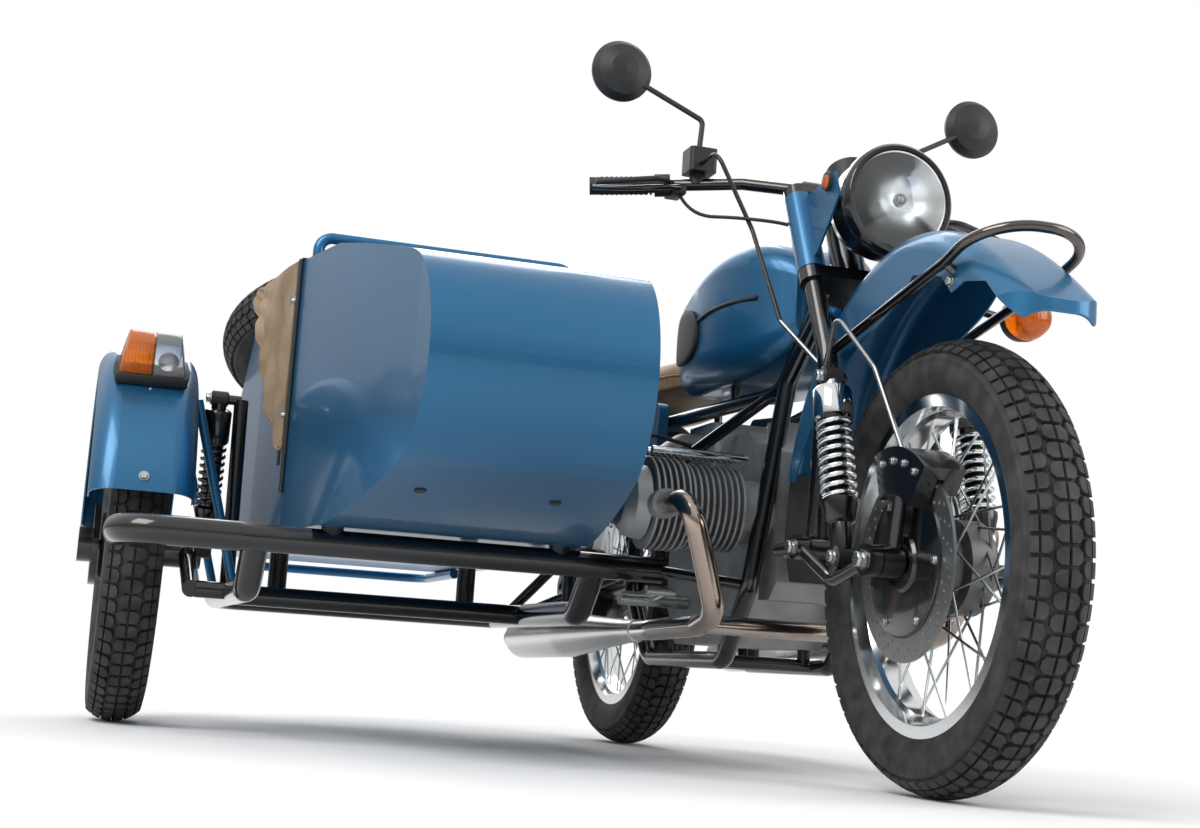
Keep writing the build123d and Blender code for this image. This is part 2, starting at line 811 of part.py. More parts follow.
keep("cylinders", fused(cylinder_pieces, ["main_frame"]))

carb_pieces = []
for side in (-1, 1):
    x = side * PORT_X
    carb_pieces.append(
        fused(
            [
                rod(at(x, CYLINDER_Y + 96.3, 480), at(x, CYLINDER_Y + 170, 480), 24.0),
                rod(at(x, CYLINDER_Y + 135, 440), at(x, CYLINDER_Y + 135, 575), 27.0),
                tube(
                    [
                        at(x, CYLINDER_Y + 165, 480),
                        at(x, CYLINDER_Y + 215, 500),
                        at(side * 130, CYLINDER_Y + 290, 610),
                        at(side * 80, CYLINDER_Y + 290, 610),
                    ],
                    18.0,
                    24.0,
                ),
            ]
        )
    )
airbox = block(at(0, CYLINDER_Y + 300, 598.3), (176, 150, 100), 20.0)
keep("carburettors", fused([*carb_pieces, airbox]))

pipe_pieces = []
for side in (-1, 1):
    pipe_pieces.append(
        tube(
            [
                at(side * PORT_X, CYLINDER_Y - 92.3, 448),
                at(side * PORT_X, 352, 448),
                at(side * 215, 390, 262),
                at(side * 215, 470, 244),
                at(side * MUFFLER_X, 610, 235),
                at(side * MUFFLER_X, 690, 234),
            ],
            PIPE_RADIUS,
            44.0,
        )
    )
pipe_pieces.append(rod(at(-215, 440, 246), at(215, 440, 246), PIPE_RADIUS - 3.0))
keep("exhaust_pipes", fused(pipe_pieces, ["main_frame"]))

muffler_pieces = []
for side in (-1, 1):
    start = at(side * MUFFLER_X, 690.3, 234)
    way = at(side * MUFFLER_X, 1590, 222) - start
    muffler_pieces.append(
        turned(
            start,
            way,
            [
                (0.0, 0.0),
                (0.0, PIPE_RADIUS + 2),
                (60.0, PIPE_RADIUS + 3),
                (430.0, MUFFLER_RADIUS),
                (800.0, MUFFLER_RADIUS),
                (860.0, MUFFLER_RADIUS - 14),
                (900.0, 24.0),
                (900.0, 0.0),
            ],
        )
    )
keep("mufflers", fused(muffler_pieces, ["exhaust_pipes"]))

TANK = (
    (470, 62, 770, 900, 24),
    (560, 130, 716, 952, 50),
    (700, 152, 706, 960, 60),
    (860, 138, 712, 920, 56),
    (980, 84, 724, 812, 30),
)
with BuildPart() as fuel_tank:
    for y, half, low, high, corner in TANK:
        with BuildSketch(Plane(origin=at(0, y, (low + high) / 2), x_dir=(1, 0, 0), z_dir=(0, -1, 0))):
            RectangleRounded(2 * half, high - low, corner)
    loft()
keep("fuel_tank", fused([fuel_tank.part], ["main_frame"]))

SEAT = (
    (985, 96, 744, 800, 22),
    (1080, 132, 744, 806, 26),
    (1300, 140, 744, 822, 26),
    (1540, 128, 748, 838, 26),
    (1640, 96, 756, 828, 22),
)
with BuildPart() as rider_seat:
    for y, half, low, high, corner in SEAT:
        with BuildSketch(Plane(origin=at(0, y, (low + high) / 2), x_dir=(1, 0, 0), z_dir=(0, -1, 0))):
            RectangleRounded(2 * half, high - low, corner)
    loft()
keep("rider_seat", rider_seat.part)

cover_parts = []
for side in (-1, 1):
    skin = Plane(origin=at(side * 126.5, 0, 0), x_dir=(0, 1, 0), z_dir=(1, 0, 0))
    with BuildPart() as panel:
        with BuildSketch(skin):
            with BuildLine():
                FilletPolyline((960, 560), (1140, 560), (1140, 716), (940, 700), radius=24, close=True)
            make_face()
        extrude(amount=side * 20.0)
    cover_parts.append(panel.part)
keep("side_covers", fused(cover_parts, ["main_frame"]))

rear_centre = at(0, REAR_Y, AXLE_Z + 12)
rear_fender = arch(rear_centre, 158, -150, 82.0, 388.0, 70.0, 40.0, 3.0)
keep("rear_fender", rear_fender)

tail_y = REAR_Y + 388 * cos(radians(40))
tail_z = AXLE_Z + 12 + 388 * sin(radians(40))
tail = turned(
    at(0, tail_y - 2, tail_z + 2),
    (0, cos(radians(30)), sin(radians(30))),
    [(3.0, 0.0), (3.0, 44.0), (40.0, 44.0), (58.0, 34.0), (64.0, 0.0)],
)
with BuildPart() as tail_lamp:
    add(tail)
    add(rear_fender, mode=Mode.SUBTRACT)
keep("tail_lamp", tail_lamp.part.solids().sort_by(SortBy.VOLUME)[-1])

arm_pieces = []
ARM_HALF = 86.0
ARM_BEND_Y = POST_Y + 0.53 * (REAR_Y - POST_Y)
for side in (-1, 1):
    x = side * ARM_HALF
    bend = [at(x, POST_Y, 345), at(x, ARM_BEND_Y, 332), at(x, REAR_Y, AXLE_Z)]
    arm_pieces.append(tube(bend, 17.0, 120.0))
    arm_pieces.append(rod(at(x - 14, REAR_Y, AXLE_Z), at(x + 14, REAR_Y, AXLE_Z), 30.0))
    arm_pieces.append(rod(at(x + side * 6, REAR_Y - 78, 338), at(x + side * 6, REAR_Y - 78, 380), 11.0))
arm_pieces.append(rod(at(-108.6, POST_Y, 345), at(108.6, POST_Y, 345), 20.0))
arm_pieces.append(rod(at(-ARM_HALF, REAR_Y, AXLE_Z), at(ARM_HALF, REAR_Y, AXLE_Z), AXLE_RADIUS))
arm_pieces.append(
    turned(
        at(-62, REAR_Y, AXLE_Z),
        (-1, 0, 0),
        [
            (0.0, AXLE_RADIUS - 1.0),
            (0.0, 60.0),
            (20.0, 92.0),
            (70.0, 92.0),
            (95.0, 60.0),
            (110.0, 30.0),
            (112.0, AXLE_RADIUS - 1.0),
        ],
    )
)
keep("swingarm", fused(arm_pieces, ["main_frame"]))

rear_shock_pieces = []
REAR_SHOCK_LOW = (REAR_Y - 78.0, 378.0)
REAR_SHOCK_TOP = (REAR_Y - 168.0, 680.0)
rear_low = Vector(0, *REAR_SHOCK_LOW)
rear_high = Vector(0, *REAR_SHOCK_TOP)
rear_span = (rear_high - rear_low).length
rear_coils = []
for i in range(9):
    start = 80.0 + i * 18.0
    rear_coils += [(start, 24.0), (start + 4.0, 32.0), (start + 10.0, 32.0), (start + 14.0, 24.0)]
for side in (-1, 1):
    x = side * 168
    spring = turned(
        at(x, *REAR_SHOCK_LOW),
        rear_high - rear_low,
        [
            (0.0, 0.0),
            (0.0, 18.0),
            (60.0, 18.0),
            (60.0, 32.0),
            (70.0, 32.0),
            (74.0, 24.0),
            *rear_coils,
            (244.0, 32.0),
            (rear_span - 20, 32.0),
            (rear_span - 20, 18.0),
            (rear_span, 18.0),
            (rear_span, 0.0),
        ],
    )
    top = rod(at(x, *REAR_SHOCK_TOP), at(side * 116, *REAR_SHOCK_TOP), 10.0)
    foot = rod(at(x, *REAR_SHOCK_LOW), at(side * 94, *REAR_SHOCK_LOW), 10.0)
    rear_shock_pieces.append(fused([spring, top, foot]))
keep("rear_shocks", fused(rear_shock_pieces, ["swingarm", "main_frame"]))

pedal_pieces = []
for side in (-1, 1):
    peg = rod(at(side * 96.3, 860, 300), at(side * 235, 860, 300), 14.0)
    arm = rod(at(side * 170, 860, 300), at(side * 190, 700, 310), 7.0)
    pad = rod(at(side * 180, 700, 310), at(side * 235, 700, 310), 9.0)
    pedal_pieces.append(fused([peg, arm, pad]))
keep("foot_controls", fused(pedal_pieces))

# Sidecar

FRAME_FRONT = 720.0
FRAME_BACK = SIDE_Y + 212.0
FRAME_OUT = -946.0
FRAME_IN = -330.0
FRONT_BAR_Z = 348.0
LOW_BAR_Z = 262.0
TOWER = (-318.0, 930.0, 404.0)
SIDE_SHOCK_X = -1000.0
SIDE_SHOCK_TOP = (SIDE_Y - 133.0, 640.0)
SIDE_SHOCK_LOW = (SIDE_Y - 53.0, 345.0)
sidecar_pieces = [
    rod(at(-200, FRAME_FRONT, FRONT_BAR_Z), at(-972, FRAME_FRONT, FRONT_BAR_Z), RAIL_RADIUS),
    tube(
        [
            at(FRAME_OUT, FRAME_FRONT, FRONT_BAR_Z),
            at(FRAME_OUT, FRAME_FRONT + 90, LOW_BAR_Z),
            at(FRAME_OUT, FRAME_BACK, LOW_BAR_Z),
            at(FRAME_IN, FRAME_BACK, LOW_BAR_Z),
        ],
        RAIL_RADIUS,
        50.0,
    ),
    tube(
        [
            at(FRAME_IN, FRAME_FRONT, FRONT_BAR_Z),
            at(FRAME_IN, FRAME_FRONT + 90, LOW_BAR_Z),
            at(FRAME_IN, FRAME_BACK, LOW_BAR_Z),
        ],
        RAIL_RADIUS,
        50.0,
    ),
    rod(at(FRAME_OUT, SIDE_Y - 60, LOW_BAR_Z), at(FRAME_IN, SIDE_Y - 60, LOW_BAR_Z), RAIL_RADIUS - 4),
    rod(at(TOWER[0], TOWER[1], LOW_BAR_Z), at(*TOWER), 11.0),
    rod(at(FRAME_OUT - 8, SIDE_Y - 148, LOW_BAR_Z), at(FRAME_OUT - 12, *SIDE_SHOCK_TOP), 14.0),
    rod(at(FRAME_OUT - 12, *SIDE_SHOCK_TOP), at(SIDE_SHOCK_X, *SIDE_SHOCK_TOP), 10.0),
]
for x in (FRAME_OUT + 130, FRAME_IN - 70):
    for y in (FRAME_FRONT, FRAME_BACK):
        base = FRONT_BAR_Z if y == FRAME_FRONT else LOW_BAR_Z
        sidecar_pieces.append(rod(at(x, y, base), at(x, y, TUB_FLOOR - 0.3), 20.0))
keep("sidecar_frame", fused(sidecar_pieces))

keep(
    "bumper_tube",
    tube(
        [
            at(-972.3, FRAME_FRONT, FRONT_BAR_Z),
            at(-1176, FRAME_FRONT, FRONT_BAR_Z),
            at(-1176, FRAME_FRONT + 120, FRONT_BAR_Z),
        ],
        26.0,
        64.0,
    ),
)

strut_pieces = []
STRUTS = (
    (-64.2, 560, 671.7, *TOWER),
    (-114.7, POST_Y + 7, 560, FRAME_IN, FRAME_BACK - 90, LOW_BAR_Z),
    (-RAIL_HALF, 518, 322, -210, FRAME_FRONT, FRONT_BAR_Z),
    (-POST_HALF, POST_Y, 372, FRAME_IN, FRAME_BACK - 210, LOW_BAR_Z),
)
for x0, y0, z0, x1, y1, z1 in STRUTS:
    strut_pieces.append(rod(at(x0, y0, z0), at(x1, y1, z1), 11.0))
keep("sidecar_struts", fused(strut_pieces, ["main_frame", "sidecar_frame"]))


def tub_solid(shrink):
    """Tub's outer form, or its inside when shrunk by the wall."""
    deck_end_y = DECK_Y + DECK_LENGTH * slope_cos
    deck_end_z = DECK_Z - DECK_LENGTH * slope_sin
    with BuildPart() as made:
        with BuildSketch(Plane(origin=at(TUB_X, 0, 0), x_dir=(0, 1, 0), z_dir=(1, 0, 0))):
            with BuildLine():
                low = TangentArc((NOSE_Y, NOSE_Z), (250, 447), tangent=(0, -1))
                low_end = TangentArc(low @ 1, (640, TUB_FLOOR), tangent=low % 1)
                high = TangentArc((NOSE_Y, NOSE_Z), (253, 783), tangent=(0, 1))
                high_end = TangentArc(high @ 1, (690, 880), tangent=high % 1)
                Polyline(
                    high_end @ 1,
                    (COWL_Y, COWL_Z),
                    (DECK_Y, DECK_Z),
                    (deck_end_y, deck_end_z),
                )
                tail = ThreePointArc(
                    (deck_end_y, deck_end_z),
                    (deck_end_y + 20, 600),
                    (deck_end_y - 70, TUB_FLOOR),
                )
                Line(tail @ 1, low_end @ 1)
            make_face()
            if shrink:
                offset(amount=-shrink, kind=Kind.INTERSECTION)
        extrude(amount=400, both=True)
        with BuildSketch(Plane(origin=at(TUB_X, 0, 0)), mode=Mode.PRIVATE) as plan:
            with BuildLine():
                Polyline(
                    (-168, 0),
                    (-185, 200),
                    (-275, 950),
                    (-296, 1300),
                    (-280, 2050),
                    (-270, 2100),
                    (270, 2100),
                    (280, 2050),
                    (296, 1300),
                    (275, 950),
                    (185, 200),
                    (168, 0),
                    close=True,
                )
            make_face()
            if shrink:
                offset(amount=-shrink, kind=Kind.INTERSECTION)
        extrude(plan.sketch, amount=1200, mode=Mode.INTERSECT)
    return made.part


HINGE_ALONG = 8.0
HINGE_UP = 10.0
PIN_RADIUS = 4.0


def hinge_knuckle(x, half, start, end, low):
    """Hinge barrel on the deck with its leaf, from start to end along the slope."""
    barrel = rod(
        on_deck(TUB_X + x - half, HINGE_ALONG, HINGE_UP),
        on_deck(TUB_X + x + half, HINGE_ALONG, HINGE_UP),
        8.5,
    )
    leaf_plane = Plane(
        origin=on_deck(TUB_X + x, (start + end) / 2, (low + HINGE_UP) / 2),
        x_dir=(1, 0, 0),
        z_dir=(0, slope_sin, slope_cos),
    )
    with BuildPart(leaf_plane) as leaf:
        Box(2 * half, end - start, HINGE_UP - low)
    return fused([barrel, leaf.part])


tub_outer = tub_solid(0.0)
tub_inner = tub_solid(TUB_WALL)
deck_plane = Plane(origin=on_deck(TUB_X, 0, 0), x_dir=(1, 0, 0), z_dir=(0, slope_sin, slope_cos))
with BuildPart() as tub:
    add(tub_outer)
    add(tub_inner, mode=Mode.SUBTRACT)
    with BuildSketch(Plane(origin=at(TUB_X, 0, 700))):
        with Locations((0, (COWL_Y + 20 + DECK_Y - 30) / 2)):
            RectangleRounded(500, DECK_Y - COWL_Y - 50, 60)
    extrude(amount=400, mode=Mode.SUBTRACT)
    with BuildSketch(deck_plane):
        with Locations((0, LID_FROM + LID_LENGTH / 2)):
            RectangleRounded(2 * LID_HALF - 60, LID_LENGTH - 60, 40)
    extrude(amount=60, both=True, mode=Mode.SUBTRACT)
    for x in (-72.0, 72.0):
        add(hinge_knuckle(x, 28.0, HINGE_ALONG - 5.0, HINGE_ALONG + 4.0, -1.0))
    pin_ends = [on_deck(TUB_X + x, HINGE_ALONG, HINGE_UP) for x in (-173, 173)]
    add(rod(*pin_ends, PIN_RADIUS))
keep("tub_shell", tub.part)

with BuildPart() as tonneau:
    with BuildSketch(Plane(origin=at(TUB_X, 0, 0), x_dir=(0, 1, 0), z_dir=(1, 0, 0))):
        with BuildLine():
            Polyline(
                (COWL_Y - 10, COWL_Z + 0.4),
                (COWL_Y, COWL_Z + 0.4),
                (DECK_Y - 12, DECK_Z + 0.4),
                (DECK_Y - 12, DECK_Z + 5),
                (DECK_Y - 150, DECK_Z + 20),
                (COWL_Y - 10, COWL_Z + 6),
                close=True,
            )
        make_face()
    extrude(amount=299, both=True)
    flap_way = Vector(-21, 350, 0).normalized()
    flap_out = Vector(-350, -21, 0).normalized()
    flap = Plane(origin=at(TUB_X - 275, 950, 0) + flap_out * 0.5, x_dir=flap_way, z_dir=flap_out)
    with BuildSketch(flap):
        with BuildLine():
            Polyline((6, -902), (6, -560), (26, -530), (60, -530), (350, -800), (480, -934), close=True)
        make_face()
    extrude(amount=3.5)
keep("tonneau_cover", fused([tonneau.part], ["tub_shell"]))

GRAB_Y = 930.0
GRAB_Z = 944.0
GRAB_HALF = 250.0
GRAB_STRAIGHT = 218.0
GRAB_RADIUS = 11.0
HOOP_Y = 2050.0
HOOP_HALF = 230.0
grab_ends = [at(TUB_X + side * GRAB_STRAIGHT, GRAB_Y, GRAB_Z) for side in (-1, 1)]
grab = [rod(*grab_ends, GRAB_RADIUS)]
for side in (-1, 1):
    foot_x = TUB_X + side * GRAB_HALF
    grab.append(
        tube(
            [
                at(foot_x, GRAB_Y, COWL_Z - 4),
                at(foot_x, GRAB_Y, GRAB_Z),
                at(TUB_X + side * GRAB_STRAIGHT, GRAB_Y, GRAB_Z),
            ],
            GRAB_RADIUS,
            0.8 * (GRAB_HALF - GRAB_STRAIGHT),
        )
    )
hoop = tube(
    [
        at(TUB_X - HOOP_HALF, 1700, TUB_FLOOR - 11),
        at(TUB_X - HOOP_HALF, HOOP_Y, TUB_FLOOR - 11),
        at(TUB_X + HOOP_HALF, HOOP_Y, TUB_FLOOR - 11),
        at(TUB_X + HOOP_HALF, 1700, TUB_FLOOR - 11),
    ],
    11.3,
    60.0,
)
keep("tub_rails", fused([*grab, hoop], ["tub_shell"]))

lid_pieces = []
with BuildPart() as lid_plate:
    with BuildSketch(deck_plane.offset(0.5)):
        with Locations((0, LID_FROM + LID_LENGTH / 2)):
            RectangleRounded(2 * LID_HALF, LID_LENGTH, 40)
    extrude(amount=LID_WALL)
lid_pieces.append(lid_plate.part)
for x in (-145.0, 0.0, 145.0):
    lid_pieces.append(hinge_knuckle(x, 28.0, HINGE_ALONG, HINGE_ALONG + 22.0, 0.6))
lid_pieces.append(
    rod(
        on_deck(TUB_X, SPARE_ALONG, LID_WALL - 1),
        on_deck(TUB_X, SPARE_ALONG, SPARE_UP - HUB_HALF - 0.3),
        36.0,
    )
)
lid_pieces.append(
    rod(
        on_deck(TUB_X, SPARE_ALONG, LID_WALL),
        on_deck(TUB_X, SPARE_ALONG, SPARE_UP + HUB_HALF + 14),
        AXLE_RADIUS,
    )
)
pin_ends = (on_deck(TUB_X - 190, HINGE_ALONG, HINGE_UP), on_deck(TUB_X + 190, HINGE_ALONG, HINGE_UP))
with BuildPart() as trunk_lid:
    for piece in lid_pieces:
        add(piece)
    add(rod(*pin_ends, PIN_RADIUS + RUN_GAP), mode=Mode.SUBTRACT)
keep("trunk_lid", trunk_lid.part)

side_centre = at(SIDE_X, SIDE_Y, AXLE_Z)
sidecar_fender = arch(side_centre, 168, -160, 94.0, 392.0, 66.0, 44.0, 3.0)
fender_stays = []
for angle, foot_y in ((130, SIDE_Y - 218), (52, SIDE_Y + 192)):
    y = SIDE_Y + 360 * cos(radians(angle))
    z = AXLE_Z + 360 * sin(radians(angle))
    fender_stays.append(rod(at(SIDE_X + 92, y, z), at(FRAME_OUT, foot_y, LOW_BAR_Z), 9.0))
keep("sidecar_fender", fused([sidecar_fender, *fender_stays], ["sidecar_frame"]))

lamp_angle = radians(128)
lamp_dir = Vector(0, cos(lamp_angle), sin(lamp_angle))
lamp_foot = side_centre + lamp_dir * 392.4
with BuildPart(Plane(origin=lamp_foot, x_dir=(1, 0, 0), z_dir=lamp_dir)) as fender_lamp:
    with Locations((0, 0, 43)):
        Box(96, 52, 54)
    fillet(fender_lamp.edges().filter_by(Axis.X), 8)
    with Locations((0, 0, 8)):
        Box(104, 60, 18)
with BuildPart() as lamp_cut:
    add(fender_lamp.part)
    add(sidecar_fender, mode=Mode.SUBTRACT)
keep("fender_lamp", lamp_cut.part)

side_arm = [
    rod(at(FRAME_OUT - 10, SIDE_Y - 230, LOW_BAR_Z), at(SIDE_X + 120, SIDE_Y - 230, LOW_BAR_Z), 16.0),
    tube(
        [
            at(SIDE_X + 112, SIDE_Y - 230, LOW_BAR_Z),
            at(SIDE_X + 112, SIDE_Y - 90, AXLE_Z - 30),
            at(SIDE_X + 112, SIDE_Y, AXLE_Z),
        ],
        17.0,
        40.0,
    ),
    rod(at(SIDE_X + 62, SIDE_Y, AXLE_Z), at(SIDE_X + 140, SIDE_Y, AXLE_Z), 34.0),
    rod(at(SIDE_X - 80, SIDE_Y, AXLE_Z), at(SIDE_X + 80, SIDE_Y, AXLE_Z), AXLE_RADIUS),
    rod(at(SIDE_X - 60, SIDE_Y, AXLE_Z), at(SIDE_X - 72, SIDE_Y, AXLE_Z), 80.0),
    rod(at(SIDE_X - 70, SIDE_Y, AXLE_Z), at(SIDE_X - 98, SIDE_Y, AXLE_Z), 36.0),
    rod(at(SIDE_X + 112, *SIDE_SHOCK_LOW), at(SIDE_SHOCK_X + 10, *SIDE_SHOCK_LOW), 10.0),
    rod(at(SIDE_X + 112, SIDE_SHOCK_LOW[0], 318), at(SIDE_X + 112, *SIDE_SHOCK_LOW), 12.0),
]
keep("sidecar_swingarm", fused(side_arm, ["sidecar_frame"]))

side_low = Vector(0, *SIDE_SHOCK_LOW)
side_high = Vector(0, *SIDE_SHOCK_TOP)
side_span = (side_high - side_low).length
side_coils = []
for i in range(8):
    start = 92.0 + i * 16.0
    side_coils += [(start, 18.0), (start + 3.0, 25.0), (start + 9.0, 25.0), (start + 12.0, 18.0)]
side_shock = turned(
    at(SIDE_SHOCK_X, *SIDE_SHOCK_LOW),
    side_high - side_low,
    [
        (0.0, 0.0),
        (0.0, 15.0),
        (70.0, 15.0),
        (74.0, 25.0),
        (88.0, 25.0),
        *side_coils,
        (222.0, 25.0),
        (side_span - 20, 25.0),
        (side_span - 20, 15.0),
        (side_span + 8, 15.0),
        (side_span + 8, 0.0),
    ],
)
keep("sidecar_shock", fused([side_shock], ["sidecar_frame", "sidecar_swingarm"]))

os.makedirs("parts", exist_ok=True)
for name, part in NODES.items():
    export_step(part, "parts/" + name + ".step")
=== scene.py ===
"""Looks of a sidecar motorcycle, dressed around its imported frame.

Every piece is in metres, in the machine's own frame: +Z up, -Y forward, +X to the rider's left.
"""

import logging
import math
from collections.abc import Iterator, Sequence
from contextlib import contextmanager
from dataclasses import dataclass
from enum import Enum

import bpy
from mathutils import Matrix, Vector

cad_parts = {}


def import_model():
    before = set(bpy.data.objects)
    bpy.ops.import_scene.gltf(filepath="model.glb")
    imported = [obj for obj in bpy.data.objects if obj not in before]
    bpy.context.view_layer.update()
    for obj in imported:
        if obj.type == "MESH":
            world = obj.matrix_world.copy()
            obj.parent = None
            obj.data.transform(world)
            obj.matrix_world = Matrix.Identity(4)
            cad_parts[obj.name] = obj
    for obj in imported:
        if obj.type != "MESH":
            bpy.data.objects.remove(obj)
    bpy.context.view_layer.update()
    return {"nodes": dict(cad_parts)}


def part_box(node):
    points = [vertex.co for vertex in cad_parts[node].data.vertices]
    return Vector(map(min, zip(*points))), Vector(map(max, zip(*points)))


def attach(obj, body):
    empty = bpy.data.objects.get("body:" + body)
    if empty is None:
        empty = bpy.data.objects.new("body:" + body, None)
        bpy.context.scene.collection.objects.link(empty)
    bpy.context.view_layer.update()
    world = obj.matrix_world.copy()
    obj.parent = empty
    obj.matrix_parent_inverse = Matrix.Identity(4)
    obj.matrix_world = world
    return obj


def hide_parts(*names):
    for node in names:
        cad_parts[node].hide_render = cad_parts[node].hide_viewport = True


LOG = logging.getLogger("sidecar")
MM = 0.001

# The bike's mid-plane and its front axle in the machine's frame, which all stations below start from
BIKE_X = 0.405
FRONT_AXLE_Y = -0.920


def at(x: float, y: float, z: float) -> Vector:
    """Point at millimetre stations from the bike's mid-plane, its front axle and the ground."""
    return Vector((BIKE_X + x * MM, FRONT_AXLE_Y + y * MM, z * MM))


def linear(colour: str) -> tuple[float, float, float, float]:
    """Turns an sRGB hex colour into linear light.

    Args:
        colour: Six hex digits after a hash.

    Returns:
        Linear red, green, blue and a full alpha.
    """
    parts = [int(colour[i : i + 2], 16) / 255 for i in (1, 3, 5)]
    made = [p / 12.92 if p <= 0.04045 else ((p + 0.055) / 1.055) ** 2.4 for p in parts]
    return (made[0], made[1], made[2], 1.0)


def add_node(tree: bpy.types.NodeTree, kind: str, settings: dict, inputs: dict) -> bpy.types.Node:
    """Adds one shader node.

    Args:
        tree: The material's node tree.
        kind: The node's type, without its common prefix.
        settings: The node's own properties by name.
        inputs: Values, or sockets to link, by the input's name or number.

    Returns:
        The new node.
    """
    node = tree.nodes.new("ShaderNode" + kind)
    for name, value in settings.items():
        setattr(node, name, value)
    for name, value in inputs.items():
        if isinstance(value, bpy.types.NodeSocket):
            tree.links.new(value, node.inputs[name])
        else:
            node.inputs[name].default_value = value
    return node


@dataclass(frozen=True)
class Finish:
    """A finish whose shader values are the same all over, with fine relief from how it was made."""

    name: str
    colour: str
    roughness: float
    metallic: float = 0.0
    ior: float = 1.5
    coat: float = 0.0
    grit_mm: float = 2.0
    relief: float = 0.05
    depth_mm: float = 0.1

    def material(self) -> bpy.types.Material:
        """Makes the material once, and returns it."""
        made = bpy.data.materials.get(self.name)
        if made is not None:
            return made
        made = bpy.data.materials.new(self.name)
        made.use_nodes = True
        tree = made.node_tree
        shader = tree.nodes["Principled BSDF"]
        shader.inputs["Base Color"].default_value = linear(self.colour)
        shader.inputs["Roughness"].default_value = self.roughness
        shader.inputs["Metallic"].default_value = self.metallic
        shader.inputs["Coat Weight"].default_value = self.coat
        shader.inputs["Coat Roughness"].default_value = 0.06
        if not self.metallic:
            shader.inputs["IOR"].default_value = self.ior
        self.dress(tree, shader, add_node(tree, "TexCoord", {}, {}).outputs["Object"])
        return made

    def grit(
        self, tree: bpy.types.NodeTree, place: bpy.types.NodeSocket, size_mm: float
    ) -> bpy.types.NodeSocket:
        """Noise whose grains have a real size.

        Args:
            tree: The material's node tree.
            place: Object coordinates.
            size_mm: The grains' size in millimetres.

        Returns:
            The noise's value.
        """
        inputs = {"Vector": place, "Scale": 1 / (size_mm * MM), "Detail": 3.0}
        return add_node(tree, "TexNoise", {}, inputs).outputs["Fac"]

    def shade(
        self,
        tree: bpy.types.NodeTree,
        mask: bpy.types.NodeSocket,
        low: float,
        high: float,
        shades: Sequence[str],
    ) -> bpy.types.NodeSocket:
        """Colours spread evenly over a mask's range.

        Args:
            tree: The material's node tree.
            mask: The value that picks a colour.
            low: Where the first colour ends.
            high: Where the last colour starts.
            shades: The colours in order.

        Returns:
            The picked colour.
        """
        span = add_node(tree, "MapRange", {}, {"Value": mask, "From Min": low, "From Max": high})
        ramp = add_node(tree, "ValToRGB", {}, {"Fac": span.outputs["Result"]})
        stops = ramp.color_ramp.elements
        while len(stops) < len(shades):
            stops.new(0.5)
        for i, colour in enumerate(shades):
            stops[i].position = i / (len(shades) - 1)
            stops[i].color = linear(colour)
        return ramp.outputs["Color"]

    def emboss(
        self, tree: bpy.types.NodeTree, shader: bpy.types.Node, height: bpy.types.NodeSocket
    ) -> None:
        """Raises the surface's relief by the finish's depth."""
        inputs = {"Strength": self.relief, "Distance": self.depth_mm * MM, "Height": height}
        bump = add_node(tree, "Bump", {}, inputs)
        tree.links.new(bump.outputs["Normal"], shader.inputs["Normal"])

    def dress(self, tree: bpy.types.NodeTree, shader: bpy.types.Node, place: bpy.types.NodeSocket) -> None:
        """Adds the relief that the making left, and the uneven gloss that goes with it."""
        grains = self.grit(tree, place, self.grit_mm)
        self.emboss(tree, shader, grains)
        low = max(0.02, self.roughness - 0.05)
        spread = {"Value": grains, "To Min": low, "To Max": self.roughness + 0.07}
        span = add_node(tree, "MapRange", {}, spread)
        tree.links.new(span.outputs["Result"], shader.inputs["Roughness"])


@dataclass(frozen=True)
class MetallicPaint(Finish):
    """Sprayed metallic enamel under a satin lacquer: flakes glint, and the tone drifts softly."""

    dark: str = "#154F72"
    light: str = "#256F9A"

    def dress(self, tree: bpy.types.NodeTree, shader: bpy.types.Node, place: bpy.types.NodeSocket) -> None:
        """Adds slow drifts of tone and fine flakes."""
        flakes = self.grit(tree, place, self.grit_mm)
        drift = self.grit(tree, place, 900.0)
        share = add_node(tree, "Math", {"operation": "MULTIPLY_ADD"}, {0: flakes, 1: 0.5, 2: drift})
        colour = self.shade(tree, share.outputs[0], 0.3, 1.2, (self.dark, self.colour, self.light))
        tree.links.new(colour, shader.inputs["Base Color"])
        self.emboss(tree, shader, flakes)


@dataclass(frozen=True)
class CastAlloy(Finish):
    """Sand-cast aluminium, blasted: a dull grey with a grainy skin and darker hollows."""

    shadow: str = "#8B8D8F"

    def dress(self, tree: bpy.types.NodeTree, shader: bpy.types.Node, place: bpy.types.NodeSocket) -> None:
        """Adds the sand's grain and stains of use."""
        grains = self.grit(tree, place, self.grit_mm)
        stains = self.grit(tree, place, 60.0)
        colour = self.shade(tree, stains, 0.3, 0.7, (self.shadow, self.colour))
        tree.links.new(colour, shader.inputs["Base Color"])
        self.emboss(tree, shader, grains)


